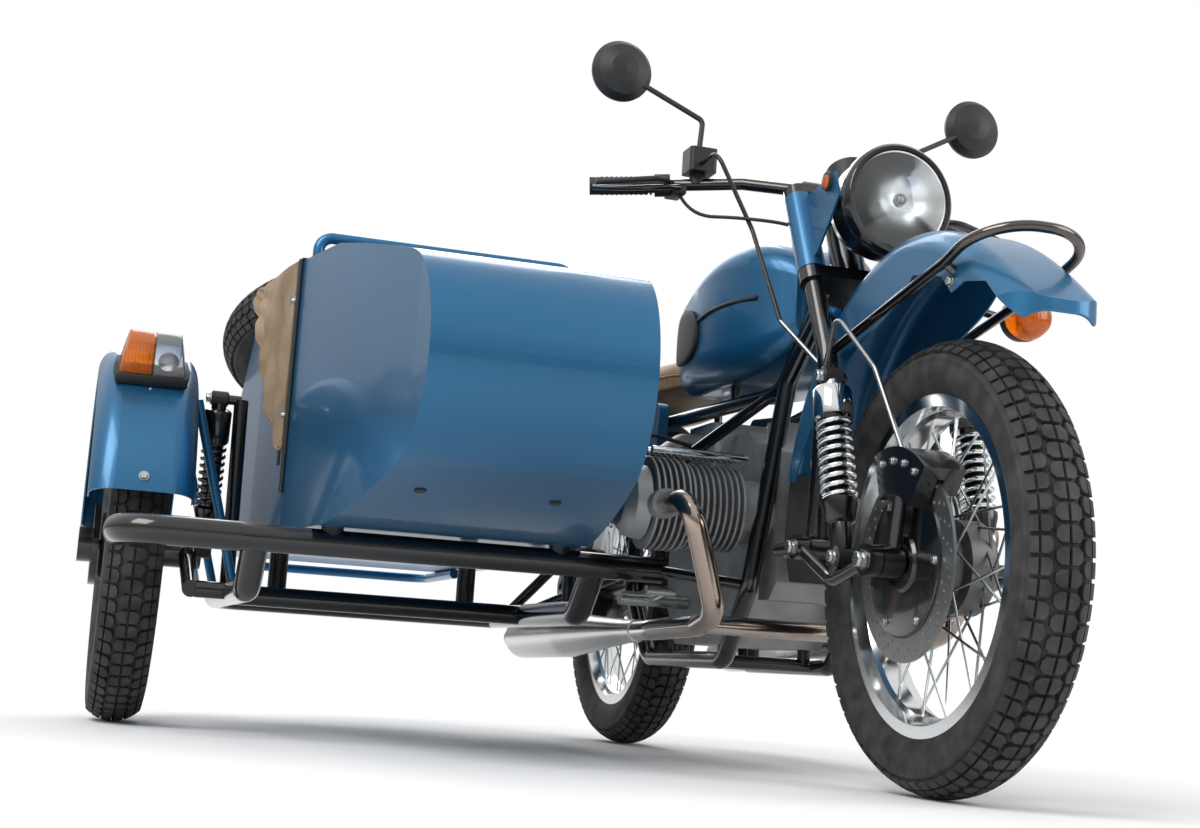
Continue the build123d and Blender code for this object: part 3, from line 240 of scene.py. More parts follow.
@dataclass(frozen=True)
class HeatedSteel(Finish):
    """Bent stainless tube: bright straw and bronze near the ports, plain grey further back."""

    hot: str = "#A5958A"
    warm: str = "#BEB3AA"
    port_y: float = -0.46
    cool_y: float = -0.24

    def dress(self, tree: bpy.types.NodeTree, shader: bpy.types.Node, place: bpy.types.NodeSocket) -> None:
        """Tints the tube by its distance behind the ports, with uneven heat."""
        axes = add_node(tree, "SeparateXYZ", {}, {"Vector": place})
        heat = self.grit(tree, place, 45.0)
        reach = {0: heat, 1: 0.18, 2: axes.outputs["Y"]}
        spot = add_node(tree, "Math", {"operation": "MULTIPLY_ADD"}, reach)
        shades = (self.hot, self.warm, self.colour)
        colour = self.shade(tree, spot.outputs[0], self.port_y, self.cool_y, shades)
        tree.links.new(colour, shader.inputs["Base Color"])
        self.emboss(tree, shader, self.grit(tree, place, self.grit_mm))


@dataclass(frozen=True)
class Rubber(Finish):
    """Vulcanised tyre rubber: near black, dusty grey on its worn crowns, faintly grained."""

    dust: str = "#3A3938"

    def dress(self, tree: bpy.types.NodeTree, shader: bpy.types.Node, place: bpy.types.NodeSocket) -> None:
        """Adds dust in patches and a fine grain."""
        patches = self.grit(tree, place, 35.0)
        colour = self.shade(tree, patches, 0.38, 0.72, (self.colour, self.dust))
        tree.links.new(colour, shader.inputs["Base Color"])
        self.emboss(tree, shader, self.grit(tree, place, self.grit_mm))


@dataclass(frozen=True)
class Leather(Finish):
    """Tanned cowhide over foam: pebbled grain, lighter where it is rubbed."""

    rubbed: str = "#A98C66"

    def dress(self, tree: bpy.types.NodeTree, shader: bpy.types.Node, place: bpy.types.NodeSocket) -> None:
        """Adds the pebbles and the rubbed patches."""
        cells = add_node(tree, "TexVoronoi", {}, {"Vector": place, "Scale": 1 / (self.grit_mm * MM)})
        rub = self.grit(tree, place, 90.0)
        colour = self.shade(tree, rub, 0.35, 0.7, (self.colour, self.rubbed))
        tree.links.new(colour, shader.inputs["Base Color"])
        self.emboss(tree, shader, cells.outputs["Distance"])


@dataclass(frozen=True)
class Canvas(Finish):
    """Proofed cotton duck: a plain weave of thick threads, sun-faded in broad patches."""

    faded: str = "#A08C72"
    thread_mm: float = 1.6

    def dress(self, tree: bpy.types.NodeTree, shader: bpy.types.Node, place: bpy.types.NodeSocket) -> None:
        """Adds warp and weft, drawn about twice as coarse as real duck so that they show, and fading."""
        scale = 0.5 / (self.thread_mm * MM)
        threads = []
        for direction in ("X", "Y", "Z"):
            settings = {"wave_type": "BANDS", "bands_direction": direction}
            inputs = {"Vector": place, "Scale": scale, "Distortion": 0.6, "Detail": 1.0}
            threads.append(add_node(tree, "TexWave", settings, inputs).outputs["Fac"])
        pair = add_node(tree, "Math", {"operation": "MULTIPLY"}, {0: threads[0], 1: threads[1]})
        weave = add_node(tree, "Math", {"operation": "ADD"}, {0: pair.outputs[0], 1: threads[2]})
        colour = self.shade(tree, self.grit(tree, place, 120.0), 0.35, 0.68, (self.colour, self.faded))
        tree.links.new(colour, shader.inputs["Base Color"])
        self.emboss(tree, shader, weave.outputs[0])


@dataclass(frozen=True)
class Lens(Finish):
    """Moulded acrylic or glass: clear, tinted in the mass, with optic flutes."""

    flute_mm: float = 6.0
    clear: float = 0.9

    def dress(self, tree: bpy.types.NodeTree, shader: bpy.types.Node, place: bpy.types.NodeSocket) -> None:
        """Adds flutes that bend the light, upright across the lens."""
        shader.inputs["Transmission Weight"].default_value = self.clear
        settings = {"wave_type": "BANDS", "bands_direction": "X"}
        flutes = add_node(tree, "TexWave", settings, {"Vector": place, "Scale": 0.3 / (self.flute_mm * MM)})
        self.emboss(tree, shader, flutes.outputs["Fac"])


@dataclass(frozen=True)
class Braid(Finish):
    """Stainless braid on the hose's lower run, of two crossing lays of wire, in black sleeve above."""

    sleeve: str = "#101011"
    sleeve_from: float = 0.76

    def dress(self, tree: bpy.types.NodeTree, shader: bpy.types.Node, place: bpy.types.NodeSocket) -> None:
        """Adds the two lays as crossing bands."""
        lays = []
        for turn in (-0.8, 0.8):
            turned = add_node(tree, "Mapping", {}, {"Vector": place, "Rotation": (turn, turn, 0.0)})
            settings = {"wave_type": "BANDS", "bands_direction": "Z"}
            inputs = {"Vector": turned.outputs["Vector"], "Scale": 0.5 / (self.grit_mm * MM)}
            lays.append(add_node(tree, "TexWave", settings, inputs).outputs["Fac"])
        cross = add_node(tree, "Math", {"operation": "MAXIMUM"}, {0: lays[0], 1: lays[1]})
        self.emboss(tree, shader, cross.outputs[0])
        height = add_node(tree, "SeparateXYZ", {}, {"Vector": place}).outputs["Z"]
        below = {0: height, 1: self.sleeve_from}
        bare = add_node(tree, "Math", {"operation": "LESS_THAN"}, below).outputs[0]
        skin = self.shade(tree, bare, 0.0, 1.0, (self.sleeve, self.colour))
        tree.links.new(skin, shader.inputs["Base Color"])
        tree.links.new(bare, shader.inputs["Metallic"])


@dataclass(frozen=True)
class WheelMetal(Finish):
    """One wheel's metals by distance from its axle: a cast hub, drawn spokes and a polished rim."""

    centre: tuple[float, float, float] = (0.0, 0.0, 0.0)
    axle: tuple[float, float, float] = (1.0, 0.0, 0.0)
    hub_radius: float = 0.074
    hub_shade: str = "#6E6F6E"
    spoke_shade: str = "#A9AFB2"

    def dress(self, tree: bpy.types.NodeTree, shader: bpy.types.Node, place: bpy.types.NodeSocket) -> None:
        """Picks tone and gloss by radius, and scratches the hub as blasting leaves it."""
        reach = add_node(tree, "VectorMath", {"operation": "SUBTRACT"}, {0: place, 1: self.centre})
        along = add_node(tree, "VectorMath", {"operation": "PROJECT"}, {0: reach.outputs[0], 1: self.axle})
        legs = {0: reach.outputs[0], 1: along.outputs[0]}
        out = add_node(tree, "VectorMath", {"operation": "SUBTRACT"}, legs)
        radius = add_node(tree, "VectorMath", {"operation": "LENGTH"}, {0: out.outputs[0]})
        shades = (self.hub_shade, self.spoke_shade, self.colour)
        colour = self.shade(tree, radius.outputs["Value"], self.hub_radius, 3 * self.hub_radius, shades)
        tree.links.new(colour, shader.inputs["Base Color"])
        edge = {
            "Value": radius.outputs["Value"],
            "From Min": self.hub_radius,
            "From Max": 1.1 * self.hub_radius,
        }
        gloss = add_node(tree, "MapRange", {}, {**edge, "To Min": 0.5, "To Max": self.roughness})
        tree.links.new(gloss.outputs["Result"], shader.inputs["Roughness"])
        self.emboss(tree, shader, self.grit(tree, place, self.grit_mm))


class Metal(Enum):
    """Metals used as they come from the mill, the polisher or the plater, and one chrome whose dark base
    colour is painted reflection.
    """

    CHROME = Finish("chrome_plate", "#DADCDD", 0.06, 1.0, relief=0.01)
    # Painted reflection: the fender bow's chrome gets a dark base colour standing in for the dim walls it
    # reflects
    DARK = Finish("chrome_with_painted_dark_reflection", "#5E5A57", 0.11, 1.0, relief=0.03)
    MIRROR = Finish("aluminised_reflector", "#F1F2F3", 0.2, 1.0, relief=0.02)
    STEEL = Finish("zinc_plated_steel", "#B4B7B5", 0.25, 1.0, relief=0.06)
    BRIGHT = Finish("brushed_stainless", "#C9C9C6", 0.24, 1.0, grit_mm=0.8, relief=0.05)
    TUBE = HeatedSteel("heat_tinted_stainless", "#CBC8C4", 0.14, 1.0, grit_mm=1.5, relief=0.03)
    ALLOY = CastAlloy("blasted_cast_alloy", "#A3A5A6", 0.48, 0.75, grit_mm=0.9, relief=0.25)
    DISC = Finish("ground_disc_steel", "#A6A7A5", 0.3, 1.0, grit_mm=0.7, relief=0.12)
    BRAID = Braid("steel_braid", "#9EA0A0", 0.32, 1.0, grit_mm=1.4, relief=0.5)


class Coat(Enum):
    """Paints and lacquers."""

    BLUE = MetallicPaint("metallic_blue_enamel", "#1C6089", 0.34, 0.5, coat=0.35, grit_mm=0.9, relief=0.03)
    BLACK = Finish("gloss_black_enamel", "#0B0B0C", 0.18, coat=0.5, grit_mm=3.0, relief=0.03)
    # Painted shade: a much darker copy of the body blue, for inner sides where shade falls
    INSIDE = Finish("dark_blue_painted_inner_shade", "#12283C", 0.55, grit_mm=2.0, relief=0.08)


class Moulded(Enum):
    """Plastics, rubbers and glass."""

    PLASTIC = Finish("black_abs", "#151517", 0.48, grit_mm=0.8, relief=0.15)
    TYRE = Rubber("tyre_rubber", "#1B1B1B", 0.72, grit_mm=1.2, relief=0.2)
    FLAP = Rubber("sheet_rubber", "#161616", 0.6, grit_mm=1.6, relief=0.15, dust="#242424")
    AMBER = Lens("amber_acrylic", "#F07A0A", 0.12, ior=1.49, relief=0.25, depth_mm=0.6, clear=0.55)
    RED = Lens("red_acrylic", "#B5121B", 0.12, ior=1.49, relief=0.25, depth_mm=0.6, clear=0.45)
    SMOKE = Lens("clear_acrylic", "#C9C9C8", 0.1, ior=1.49, relief=0.25, depth_mm=0.6, clear=0.8)
    GLASS = Lens(
        "fluted_lamp_glass", "#F4F7F8", 0.02, ior=1.45, relief=0.06, depth_mm=0.3, clear=1.0, flute_mm=9.0
    )


class Soft(Enum):
    """Leather and cloth."""

    SEAT = Leather("tan_saddle_leather", "#7C5F40", 0.52, grit_mm=2.2, relief=0.3, depth_mm=0.4)
    CLOTH = Canvas("proofed_canvas", "#7D6850", 0.85, relief=0.35, depth_mm=0.5)
    HEM = Canvas("canvas_hem", "#57463A", 0.85, relief=0.35, depth_mm=0.5, faded="#6B584A")


@contextmanager
def editing(piece: bpy.types.Object) -> Iterator[None]:
    """Edit mode on one piece, with all of it selected at first.

    Args:
        piece: The mesh to shape.

    Yields:
        Nothing; the piece leaves edit mode afterwards.
    """
    bpy.ops.object.select_all(action="DESELECT")
    bpy.context.view_layer.objects.active = piece
    piece.select_set(True)
    bpy.ops.object.mode_set(mode="EDIT")
    bpy.ops.mesh.select_all(action="SELECT")
    yield
    bpy.ops.object.mode_set(mode="OBJECT")


def place(piece: bpy.types.Object, where: Matrix) -> bpy.types.Object:
    """Moves a piece and bakes its place into its mesh.

    Args:
        piece: The piece, modelled at the origin.
        where: Its place in the machine's frame.

    Returns:
        The same piece.
    """
    bpy.ops.object.select_all(action="DESELECT")
    bpy.context.view_layer.objects.active = piece
    piece.select_set(True)
    piece.matrix_world = where
    bpy.ops.object.transform_apply(location=True, rotation=True, scale=True)
    return piece


def facing(origin: Vector, axis: Vector) -> Matrix:
    """Place whose +Z lies along an axis."""
    return Matrix.Translation(origin) @ axis.to_track_quat("Z", "Y").to_matrix().to_4x4()


def applied(piece: bpy.types.Object, kind: str, **settings: object) -> None:
    """Adds a modifier with its settings and applies it at once."""
    bpy.context.view_layer.objects.active = piece
    modifier = piece.modifiers.new(kind.lower(), kind)
    for name, value in settings.items():
        setattr(modifier, name, value)
    bpy.ops.object.modifier_apply(modifier=modifier.name)


def lathe(
    name: str, profile: Sequence[tuple[float, float]], where: Matrix, steps: int = 48
) -> bpy.types.Object:
    """Turns a profile about its own axis, as on a lathe.

    Args:
        name: The piece's name.
        profile: Points as (millimetres along the axis, radius in millimetres).
        where: Place whose +Z is the axis.
        steps: Facets round the axis.

    Returns:
        The turned piece.
    """
    bpy.ops.object.select_all(action="DESELECT")
    bpy.ops.mesh.primitive_plane_add(size=MM)
    piece = bpy.context.object
    piece.name = name
    with editing(piece):
        bpy.ops.mesh.merge(type="CENTER")
        bpy.ops.transform.translate(value=(profile[0][1] * MM, 0, profile[0][0] * MM))
        for (z0, r0), (z1, r1) in zip(profile, profile[1:]):
            step = ((r1 - r0) * MM, 0, (z1 - z0) * MM)
            bpy.ops.mesh.extrude_region_move(TRANSFORM_OT_translate={"value": step})
        bpy.ops.mesh.select_all(action="SELECT")
        bpy.ops.mesh.spin(steps=steps, angle=math.tau, center=(0, 0, 0), axis=(0, 0, 1))
        bpy.ops.mesh.select_all(action="SELECT")
        bpy.ops.mesh.remove_doubles(threshold=0.01 * MM)
        bpy.ops.mesh.normals_make_consistent(inside=False)
    return place(piece, where)


def tube(name: str, points: Sequence[Vector], radius_mm: float, sides: int = 3) -> bpy.types.Object:
    """Round tube along a smooth line.

    Args:
        name: The piece's name.
        points: Control points of the line.
        radius_mm: The tube's radius.
        sides: Half the facets of a quarter turn.

    Returns:
        The tube as a mesh.
    """
    bpy.ops.object.select_all(action="DESELECT")
    bpy.ops.curve.primitive_nurbs_path_add()
    piece = bpy.context.object
    piece.name = name
    line = piece.data
    line.splines.clear()
    spline = line.splines.new("NURBS")
    spline.points.add(len(points) - 1)
    for spot, point in zip(spline.points, points):
        spot.co = (*point, 1.0)
    spline.order_u = 3
    spline.use_endpoint_u = True
    spline.resolution_u = 6
    line.bevel_depth = radius_mm * MM
    line.bevel_resolution = sides
    line.use_fill_caps = True
    bpy.ops.object.convert(target="MESH")
    piece = bpy.context.object
    piece.location = (0, 0, 0)
    return piece


def prism(
    name: str, outline: Sequence[tuple[float, float]], height_mm: float, where: Matrix
) -> bpy.types.Object:
    """Plate of an outline, extruded along its place's +Z.

    Args:
        name: The piece's name.
        outline: Corner points in millimetres, in order.
        height_mm: The plate's thickness.
        where: The outline's place.

    Returns:
        The plate.
    """
    bpy.ops.object.select_all(action="DESELECT")
    bpy.ops.mesh.primitive_circle_add(vertices=len(outline), radius=MM, fill_type="NGON")
    piece = bpy.context.object
    piece.name = name
    for vertex, (x, y) in zip(piece.data.vertices, outline):
        vertex.co = (x * MM, y * MM, 0)
    with editing(piece):
        bpy.ops.mesh.extrude_region_move(TRANSFORM_OT_translate={"value": (0, 0, height_mm * MM)})
        bpy.ops.mesh.select_all(action="SELECT")
        bpy.ops.mesh.normals_make_consistent(inside=False)
    return place(piece, where)


def joined(name: str, pieces: Sequence[bpy.types.Object]) -> bpy.types.Object:
    """Makes one piece of several, under a new name."""
    bpy.ops.object.select_all(action="DESELECT")
    for piece in pieces:
        piece.select_set(True)
    bpy.context.view_layer.objects.active = pieces[0]
    bpy.ops.object.join()
    pieces[0].name = name
    return pieces[0]


def copied(piece: bpy.types.Object, where: Matrix) -> bpy.types.Object:
    """Copies a piece with its own mesh to another place."""
    made = piece.copy()
    made.data = piece.data.copy()
    bpy.context.scene.collection.objects.link(made)
    return place(made, where)


def hex_bolt(across_mm: float, washer: bool = True) -> bpy.types.Object:
    """Hexagon head on a washer, standing on the origin along +Z."""
    radius = across_mm / 2 / math.cos(math.pi / 6)
    corners = [(radius * math.cos(i * math.pi / 3), radius * math.sin(i * math.pi / 3)) for i in range(6)]
    head = prism("bolt", corners, across_mm * 0.55, Matrix.Identity(4))
    applied(head, "BEVEL", width=across_mm * 0.06 * MM, segments=1)
    if not washer:
        return head
    band = [(-0.5, 0.0), (-0.5, radius * 1.25), (1.2, radius * 1.25), (1.2, 0.0)]
    ring = lathe("washer", band, Matrix.Identity(4), 16)
    return joined("bolt", [head, ring])


class Dresser:
    """Hands finished pieces to the machine: finish, gloss edges and body."""

    body: str = "chassis"

    def keep(
        self,
        piece: bpy.types.Object,
        finish: Enum,
        slot: str,
        replaces: Sequence[str] = (),
        bevel_mm: float = 0.0,
    ) -> bpy.types.Object:
        """Finishes a piece and sets it on this sub-assembly's body.

        Args:
            piece: The modelled piece.
            finish: The finish that it gets.
            slot: The record's material slot; not used.
            replaces: Solids that the piece stands for.
            bevel_mm: Width of the softened edges.

        Returns:
            The same piece.
        """
        bpy.ops.object.select_all(action="DESELECT")
        bpy.context.view_layer.objects.active = piece
        piece.select_set(True)
        if bevel_mm:
            applied(piece, "BEVEL", width=bevel_mm * MM, segments=2, limit_method="ANGLE")
        bpy.ops.object.shade_smooth_by_angle(angle=math.radians(38))
        piece.data.materials.clear()
        piece.data.materials.append(finish.value.material())
        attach(piece, self.body)
        if replaces:
            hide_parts(*replaces)
        LOG.info("%s rides on %s with %d faces", piece.name, self.body, len(piece.data.polygons))
        return piece

    def bolts(
        self, name: str, spots: Sequence[tuple[Vector, Vector]], across_mm: float
    ) -> bpy.types.Object:
        """Sets like bolts at places with their axes, as one piece."""
        first = hex_bolt(across_mm)
        made = [copied(first, facing(spot, axis)) for spot, axis in spots]
        bpy.data.objects.remove(first)
        return self.keep(joined(name, made), Metal.STEEL, "steel")


@dataclass
class Studio:
    """Pale floor, soft light and a low camera, as for a catalogue picture."""

    camera: Vector = at(-1267.6, -2366.7, 148.8)
    yaw: float = 0.2922
    pitch: float = 0.1478
    roll: float = 0.064
    focal_px: float = 1753.34
    picture_px: tuple[float, float] = (1200.0, 828.0)
    floor_half: float = 40.0
    near: float = 1.6
    far: float = 3.6

    def build(self) -> None:
        """Sets up camera, floor, sky and lamps."""
        bpy.context.scene.view_settings.view_transform = "Standard"
        self.add_camera()
        self.add_floor()
        self.add_sky()
        self.add_lamp("key", Vector((-3.2, -2.6, 4.2)), 3.2, 210.0)
        self.add_lamp("fill", Vector((3.8, -3.0, 2.4)), 2.6, 80.0)
        self.add_lamp("back", Vector((0.4, 4.2, 3.6)), 3.6, 140.0)

    def add_camera(self) -> None:
        """Aims the camera by its three angles, with the photograph's focal length."""
        data = bpy.data.cameras.new("camera")
        data.sensor_width = 36.0
        data.lens = self.focal_px / self.picture_px[0] * data.sensor_width
        data.clip_start = 0.02
        camera = bpy.data.objects.new("camera", data)
        bpy.context.scene.collection.objects.link(camera)
        forward = Vector((math.sin(self.yaw), math.cos(self.yaw), 0.0)) * math.cos(self.pitch)
        forward.z = math.sin(self.pitch)
        level = Vector((math.cos(self.yaw), -math.sin(self.yaw), 0.0))
        up = level.cross(forward)
        right = math.cos(self.roll) * level + math.sin(self.roll) * up
        above = right.cross(forward)
        turn = Matrix((right, above, -forward)).transposed().to_4x4()
        camera.matrix_world = Matrix.Translation(self.camera) @ turn
        bpy.context.scene.camera = camera

    def add_floor(self) -> None:
        """Lays a wide pale floor that keeps the machine's shadow and reads white to the eye."""
        bpy.ops.object.select_all(action="DESELECT")
        bpy.ops.mesh.primitive_plane_add(size=2 * self.floor_half)
        floor = bpy.context.object
        floor.name = "floor"
        floor.data.materials.append(self.sweep())

    def sweep(self) -> bpy.types.Material:
        """Matt white that turns to even light far from the machine, so that no edge shows."""
        made = bpy.data.materials.new("white_sweep")
        made.use_nodes = True
        tree = made.node_tree
        shader = tree.nodes["Principled BSDF"]
        shader.inputs["Base Color"].default_value = linear("#F4F4F4")
        shader.inputs["Roughness"].default_value = 0.9
        glow = add_node(tree, "Emission", {}, {"Color": linear("#FFFFFF"), "Strength": 1.0})
        spot = add_node(tree, "TexCoord", {}, {}).outputs["Object"]
        reach = add_node(tree, "VectorMath", {"operation": "LENGTH"}, {0: spot})
        span = {"Value": reach.outputs["Value"], "From Min": self.near, "From Max": self.far}
        far = add_node(tree, "MapRange", {}, span)
        shaders = {0: far.outputs["Result"], 1: shader.outputs[0], 2: glow.outputs[0]}
        mix = add_node(tree, "MixShader", {}, shaders)
        tree.links.new(mix.outputs[0], tree.nodes["Material Output"].inputs["Surface"])
        return made

    def add_sky(self) -> None:
        """Fills the world with light: white to the camera, dim walls under a bright roof in reflections."""
        world = bpy.data.worlds.new("sweep")
        world.use_nodes = True
        tree = world.node_tree
        tree.nodes.clear()
        path = add_node(tree, "LightPath", {}, {})
        seen = {0: path.outputs["Is Camera Ray"], 1: path.outputs["Is Transmission Ray"]}
        shown = add_node(tree, "Math", {"operation": "MAXIMUM"}, seen).outputs[0]
        level = add_node(tree, "MapRange", {}, {"Value": shown, "To Min": 0.55, "To Max": 1.0})
        way = add_node(tree, "TexCoord", {}, {}).outputs["Generated"]
        height = add_node(tree, "SeparateXYZ", {}, {"Vector": way}).outputs["Z"]
        walls = {"Value": height, "From Min": 0.02, "From Max": 0.5, "To Min": 0.22, "To Max": 1.0}
        mirrored = add_node(tree, "MapRange", {}, walls)
        pick = {0: path.outputs["Is Glossy Ray"], 2: level.outputs["Result"], 3: mirrored.outputs["Result"]}
        level = add_node(tree, "Mix", {"data_type": "FLOAT"}, pick)
        inputs = {"Color": linear("#FFFFFF"), "Strength": level.outputs["Result"]}
        light = add_node(tree, "Background", {}, inputs)
        add_node(tree, "OutputWorld", {}, {"Surface": light.outputs["Background"]})
        bpy.context.scene.world = world

    def add_lamp(self, name: str, spot: Vector, size: float, watts: float) -> None:
        """Hangs one soft square lamp, aimed at the machine's middle."""
        data = bpy.data.lights.new(name, "AREA")
        data.energy = watts
        data.size = size
        lamp = bpy.data.objects.new(name, data)
        lamp.location = spot
        lamp.rotation_euler = (Vector((0, 0, 0.5)) - spot).to_track_quat("-Z", "Y").to_euler()
        bpy.context.scene.collection.objects.link(lamp)


@dataclass
class TreadedTyre(Dresser):
    """Block-tread tyre: a carcass turned about its axle, with tread blocks set round it."""

    crown: float = 343.0
    section: float = 70.7
    groove: float = 7.0
    pitches: int = 72
    shoulder: tuple[float, float] = (50.5, 314.0)
    bulge: tuple[float, float] = (54.0, 292.0)
    heel: tuple[float, float] = (38.0, 258.0)
    bead: tuple[float, float] = (34.0, 246.2)

    # Block corners as (millimetres across from the crown's middle, millimetres along), for one side
    BLOCKS = (
        ((1.6, -12.6), (13.5, -12.6), (20.5, -6.0), (20.5, 6.0), (13.5, 12.6), (1.6, 12.6)),
        ((24.0, 9.0), (29.0, 2.4), (40.5, 2.4), (40.5, 27.6), (29.0, 27.6), (24.0, 21.0)),
        ((43.0, 2.4), (57.0, 2.4), (57.0, 15.0), (57.0, 27.6), (43.0, 27.6), (43.0, 15.0)),
    )

    def on_tread(self, across: float, along: float, depth: float) -> Vector:
        """Point of the tread in the tyre's own frame, whose axle is +X.

        Args:
            across: Millimetres from the crown's middle, over the curved section.
            along: Millimetres round the crown.
            depth: Millimetres below the tread's face.

        Returns:
            The point in metres.
        """
        lean = across / self.section
        radius = self.crown - self.section + (self.section - depth) * math.cos(lean)
        turn = along / self.crown
        x = (self.section - depth) * math.sin(lean)
        return Vector((x, radius * math.sin(turn), radius * math.cos(turn))) * MM

    def carcass_profile(self) -> list[tuple[float, float]]:
        """Section from bead to bead, with its crown sunk to the foot of the grooves."""
        half = [self.bead, (self.bead[0], self.heel[1]), self.heel]
        half += [(44.5, 264.0), (50.0, 274.0), (53.2, 284.0), self.bulge, (53.6, 300.0), (52.6, 308.0)]
        half += [(52.9, 309.0), (52.2, 312.5), self.shoulder]
        crown = []
        for share in range(-4, 5):
            lean = share / 4 * 0.66
            reach = self.section - self.groove
            crown.append((reach * math.sin(lean), self.crown - self.section + reach * math.cos(lean)))
        left = [(-x, r) for x, r in half]
        return left + crown + list(reversed(half))

    def model(self) -> bpy.types.Object:
        """Models one tyre about the origin, its axle along +X."""
        axle = Matrix.Rotation(math.pi / 2, 4, "Y")
        carcass = lathe("carcass", self.carcass_profile(), axle, 96)
        blocks = []
        for corners in self.BLOCKS:
            for side in (-1, 1):
                block = prism("block", corners, self.groove, Matrix.Identity(4))
                for vertex in block.data.vertices:
                    across = vertex.co.x / MM
                    high = vertex.co.z > 0
                    inward = 0.93 if high else 1.0
                    middle = sum(x for x, _ in corners) / len(corners)
                    across = middle + (across - middle) * inward
                    depth = 0.0 if high else self.groove + 1.0
                    vertex.co = self.on_tread(side * across, vertex.co.y / MM * inward, depth)
                blocks.append(block)
        pitch = joined("pitch", blocks)
        with editing(pitch):
            bpy.ops.mesh.normals_make_consistent(inside=False)
        hub = bpy.data.objects.new("hub", None)
        bpy.context.scene.collection.objects.link(hub)
        hub.rotation_euler = (math.tau / self.pitches, 0, 0)
        bpy.context.view_layer.update()
        applied(
            pitch,
            "ARRAY",
            count=self.pitches,
            use_relative_offset=False,
            use_object_offset=True,
            offset_object=hub,
        )
        bpy.data.objects.remove(hub)
        return joined("treaded_tyre", [carcass, pitch])

    def dress(self, wheels: Sequence["WheelPlace"]) -> None:
        """Sets one tyre on each wheel."""
        model = self.model()
        for wheel in wheels:
            self.body = wheel.body
            tyre = copied(model, wheel.place())
            tyre.name = wheel.name + "_treaded_tyre"
            self.keep(tyre, Moulded.TYRE, "rubber", [wheel.name + "_tyre"])
        bpy.data.objects.remove(model)


@dataclass(frozen=True)
class WheelPlace:
    """Where a wheel is: its hub's middle and the way its axle points."""

    name: str
    body: str
    centre: Vector
    axle: Vector

    def place(self) -> Matrix:
        """Place whose +X is the axle."""
        return Matrix.Translation(self.centre) @ self.axle.to_track_quat("X", "Z").to_matrix().to_4x4()

    @classmethod
    def of_tyre(cls, name: str, body: str, axle: Vector) -> "WheelPlace":
        """Reads a wheel's middle from its tyre's box."""
        low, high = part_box(name + "_tyre")
        return cls(name, body, (low + high) / 2, axle)


@dataclass
class CoilShock(Dresser):
    """Spring and damper between two eyes: rod and cup below, wound spring, bright cap above."""

    name: str
    foot: Vector
    top: Vector
    body: str = "steering"
    replaces: Sequence[str] = ()
    slot: str = "chrome"
    coil_radius: float = 26.0
    wire_radius: float = 4.2
    turns: float = 9.0
    coil_from: float = 95.0
    coil_to: float = 232.0
    bright: bool = True
    eye_side: float = 1.0

    def helix(self) -> list[Vector]:
        """Spring's line about +Z, with its end turns closed up."""
        points = []
        steps = int(self.turns * 16)
        for i in range(steps + 1):
            share = i / steps
            turn = math.tau * self.turns * share
            rise = self.coil_from + (self.coil_to - self.coil_from) * share
            across = self.coil_radius * math.cos(turn)
            along = self.coil_radius * math.sin(turn)
            points.append(Vector((across, along, rise)) * MM)
        return points

    def dress(self) -> None:
        """Builds damper, spring, cap and eyes between the two ends."""
        way = self.top - self.foot
        length = way.length / MM
        where = facing(self.foot, way)
        wide = self.coil_radius + self.wire_radius
        damper = lathe(
            self.name + "_damper",
            [
                (10.0, 0.0),
                (10.0, 13.0),
                (24.0, 16.0),
                (self.coil_from - 42, 16.0),
                (self.coil_from - 38, wide - 8),
                (self.coil_from - 12, wide),
                (self.coil_from - 4, wide + 0.5),
                (self.coil_from - 2, wide - 6),
                (self.coil_from, 16.5),
                (self.coil_to, 16.5),
                (self.coil_to, 0.0),
            ],
            where,
            32,
        )
        self.keep(damper, Coat.BLACK, "black_paint", self.replaces)
        spring = place(tube(self.name + "_spring", self.helix(), self.wire_radius), where)
        self.keep(spring, Metal.CHROME if self.bright else Coat.BLACK, self.slot)
        cap = lathe(
            self.name + "_cap",
            [
                (self.coil_to - 1, 14.0),
                (self.coil_to - 1, wide + 0.5),
                (self.coil_to + 3, wide + 1.5),
                (length - 27, wide + 1.5),
                (length - 22, wide - 2),
                (length - 20, 15.0),
                (length - 8, 13.0),
                (length - 8, 0.0),
            ],
            where,
            40,
        )
        self.keep(cap, Metal.CHROME if self.bright else Coat.BLACK, self.slot)
        across = Vector((self.eye_side, 0, 0))
        eyes = []
        for spot in (self.foot, self.top):
            profile = [(-17.0, 0.0), (-17.0, 12.0), (-14.0, 15.5), (14.0, 15.5), (17.0, 12.0), (17.0, 0.0)]
            eyes.append(lathe("eye", profile, facing(spot, across), 24))
        self.keep(joined(self.name + "_eyes", eyes), Moulded.PLASTIC, "black_plastic")
        ends = [(spot + across * 17 * MM, across) for spot in (self.foot, self.top)]
        self.bolts(self.name + "_bolts", ends, 17.0)


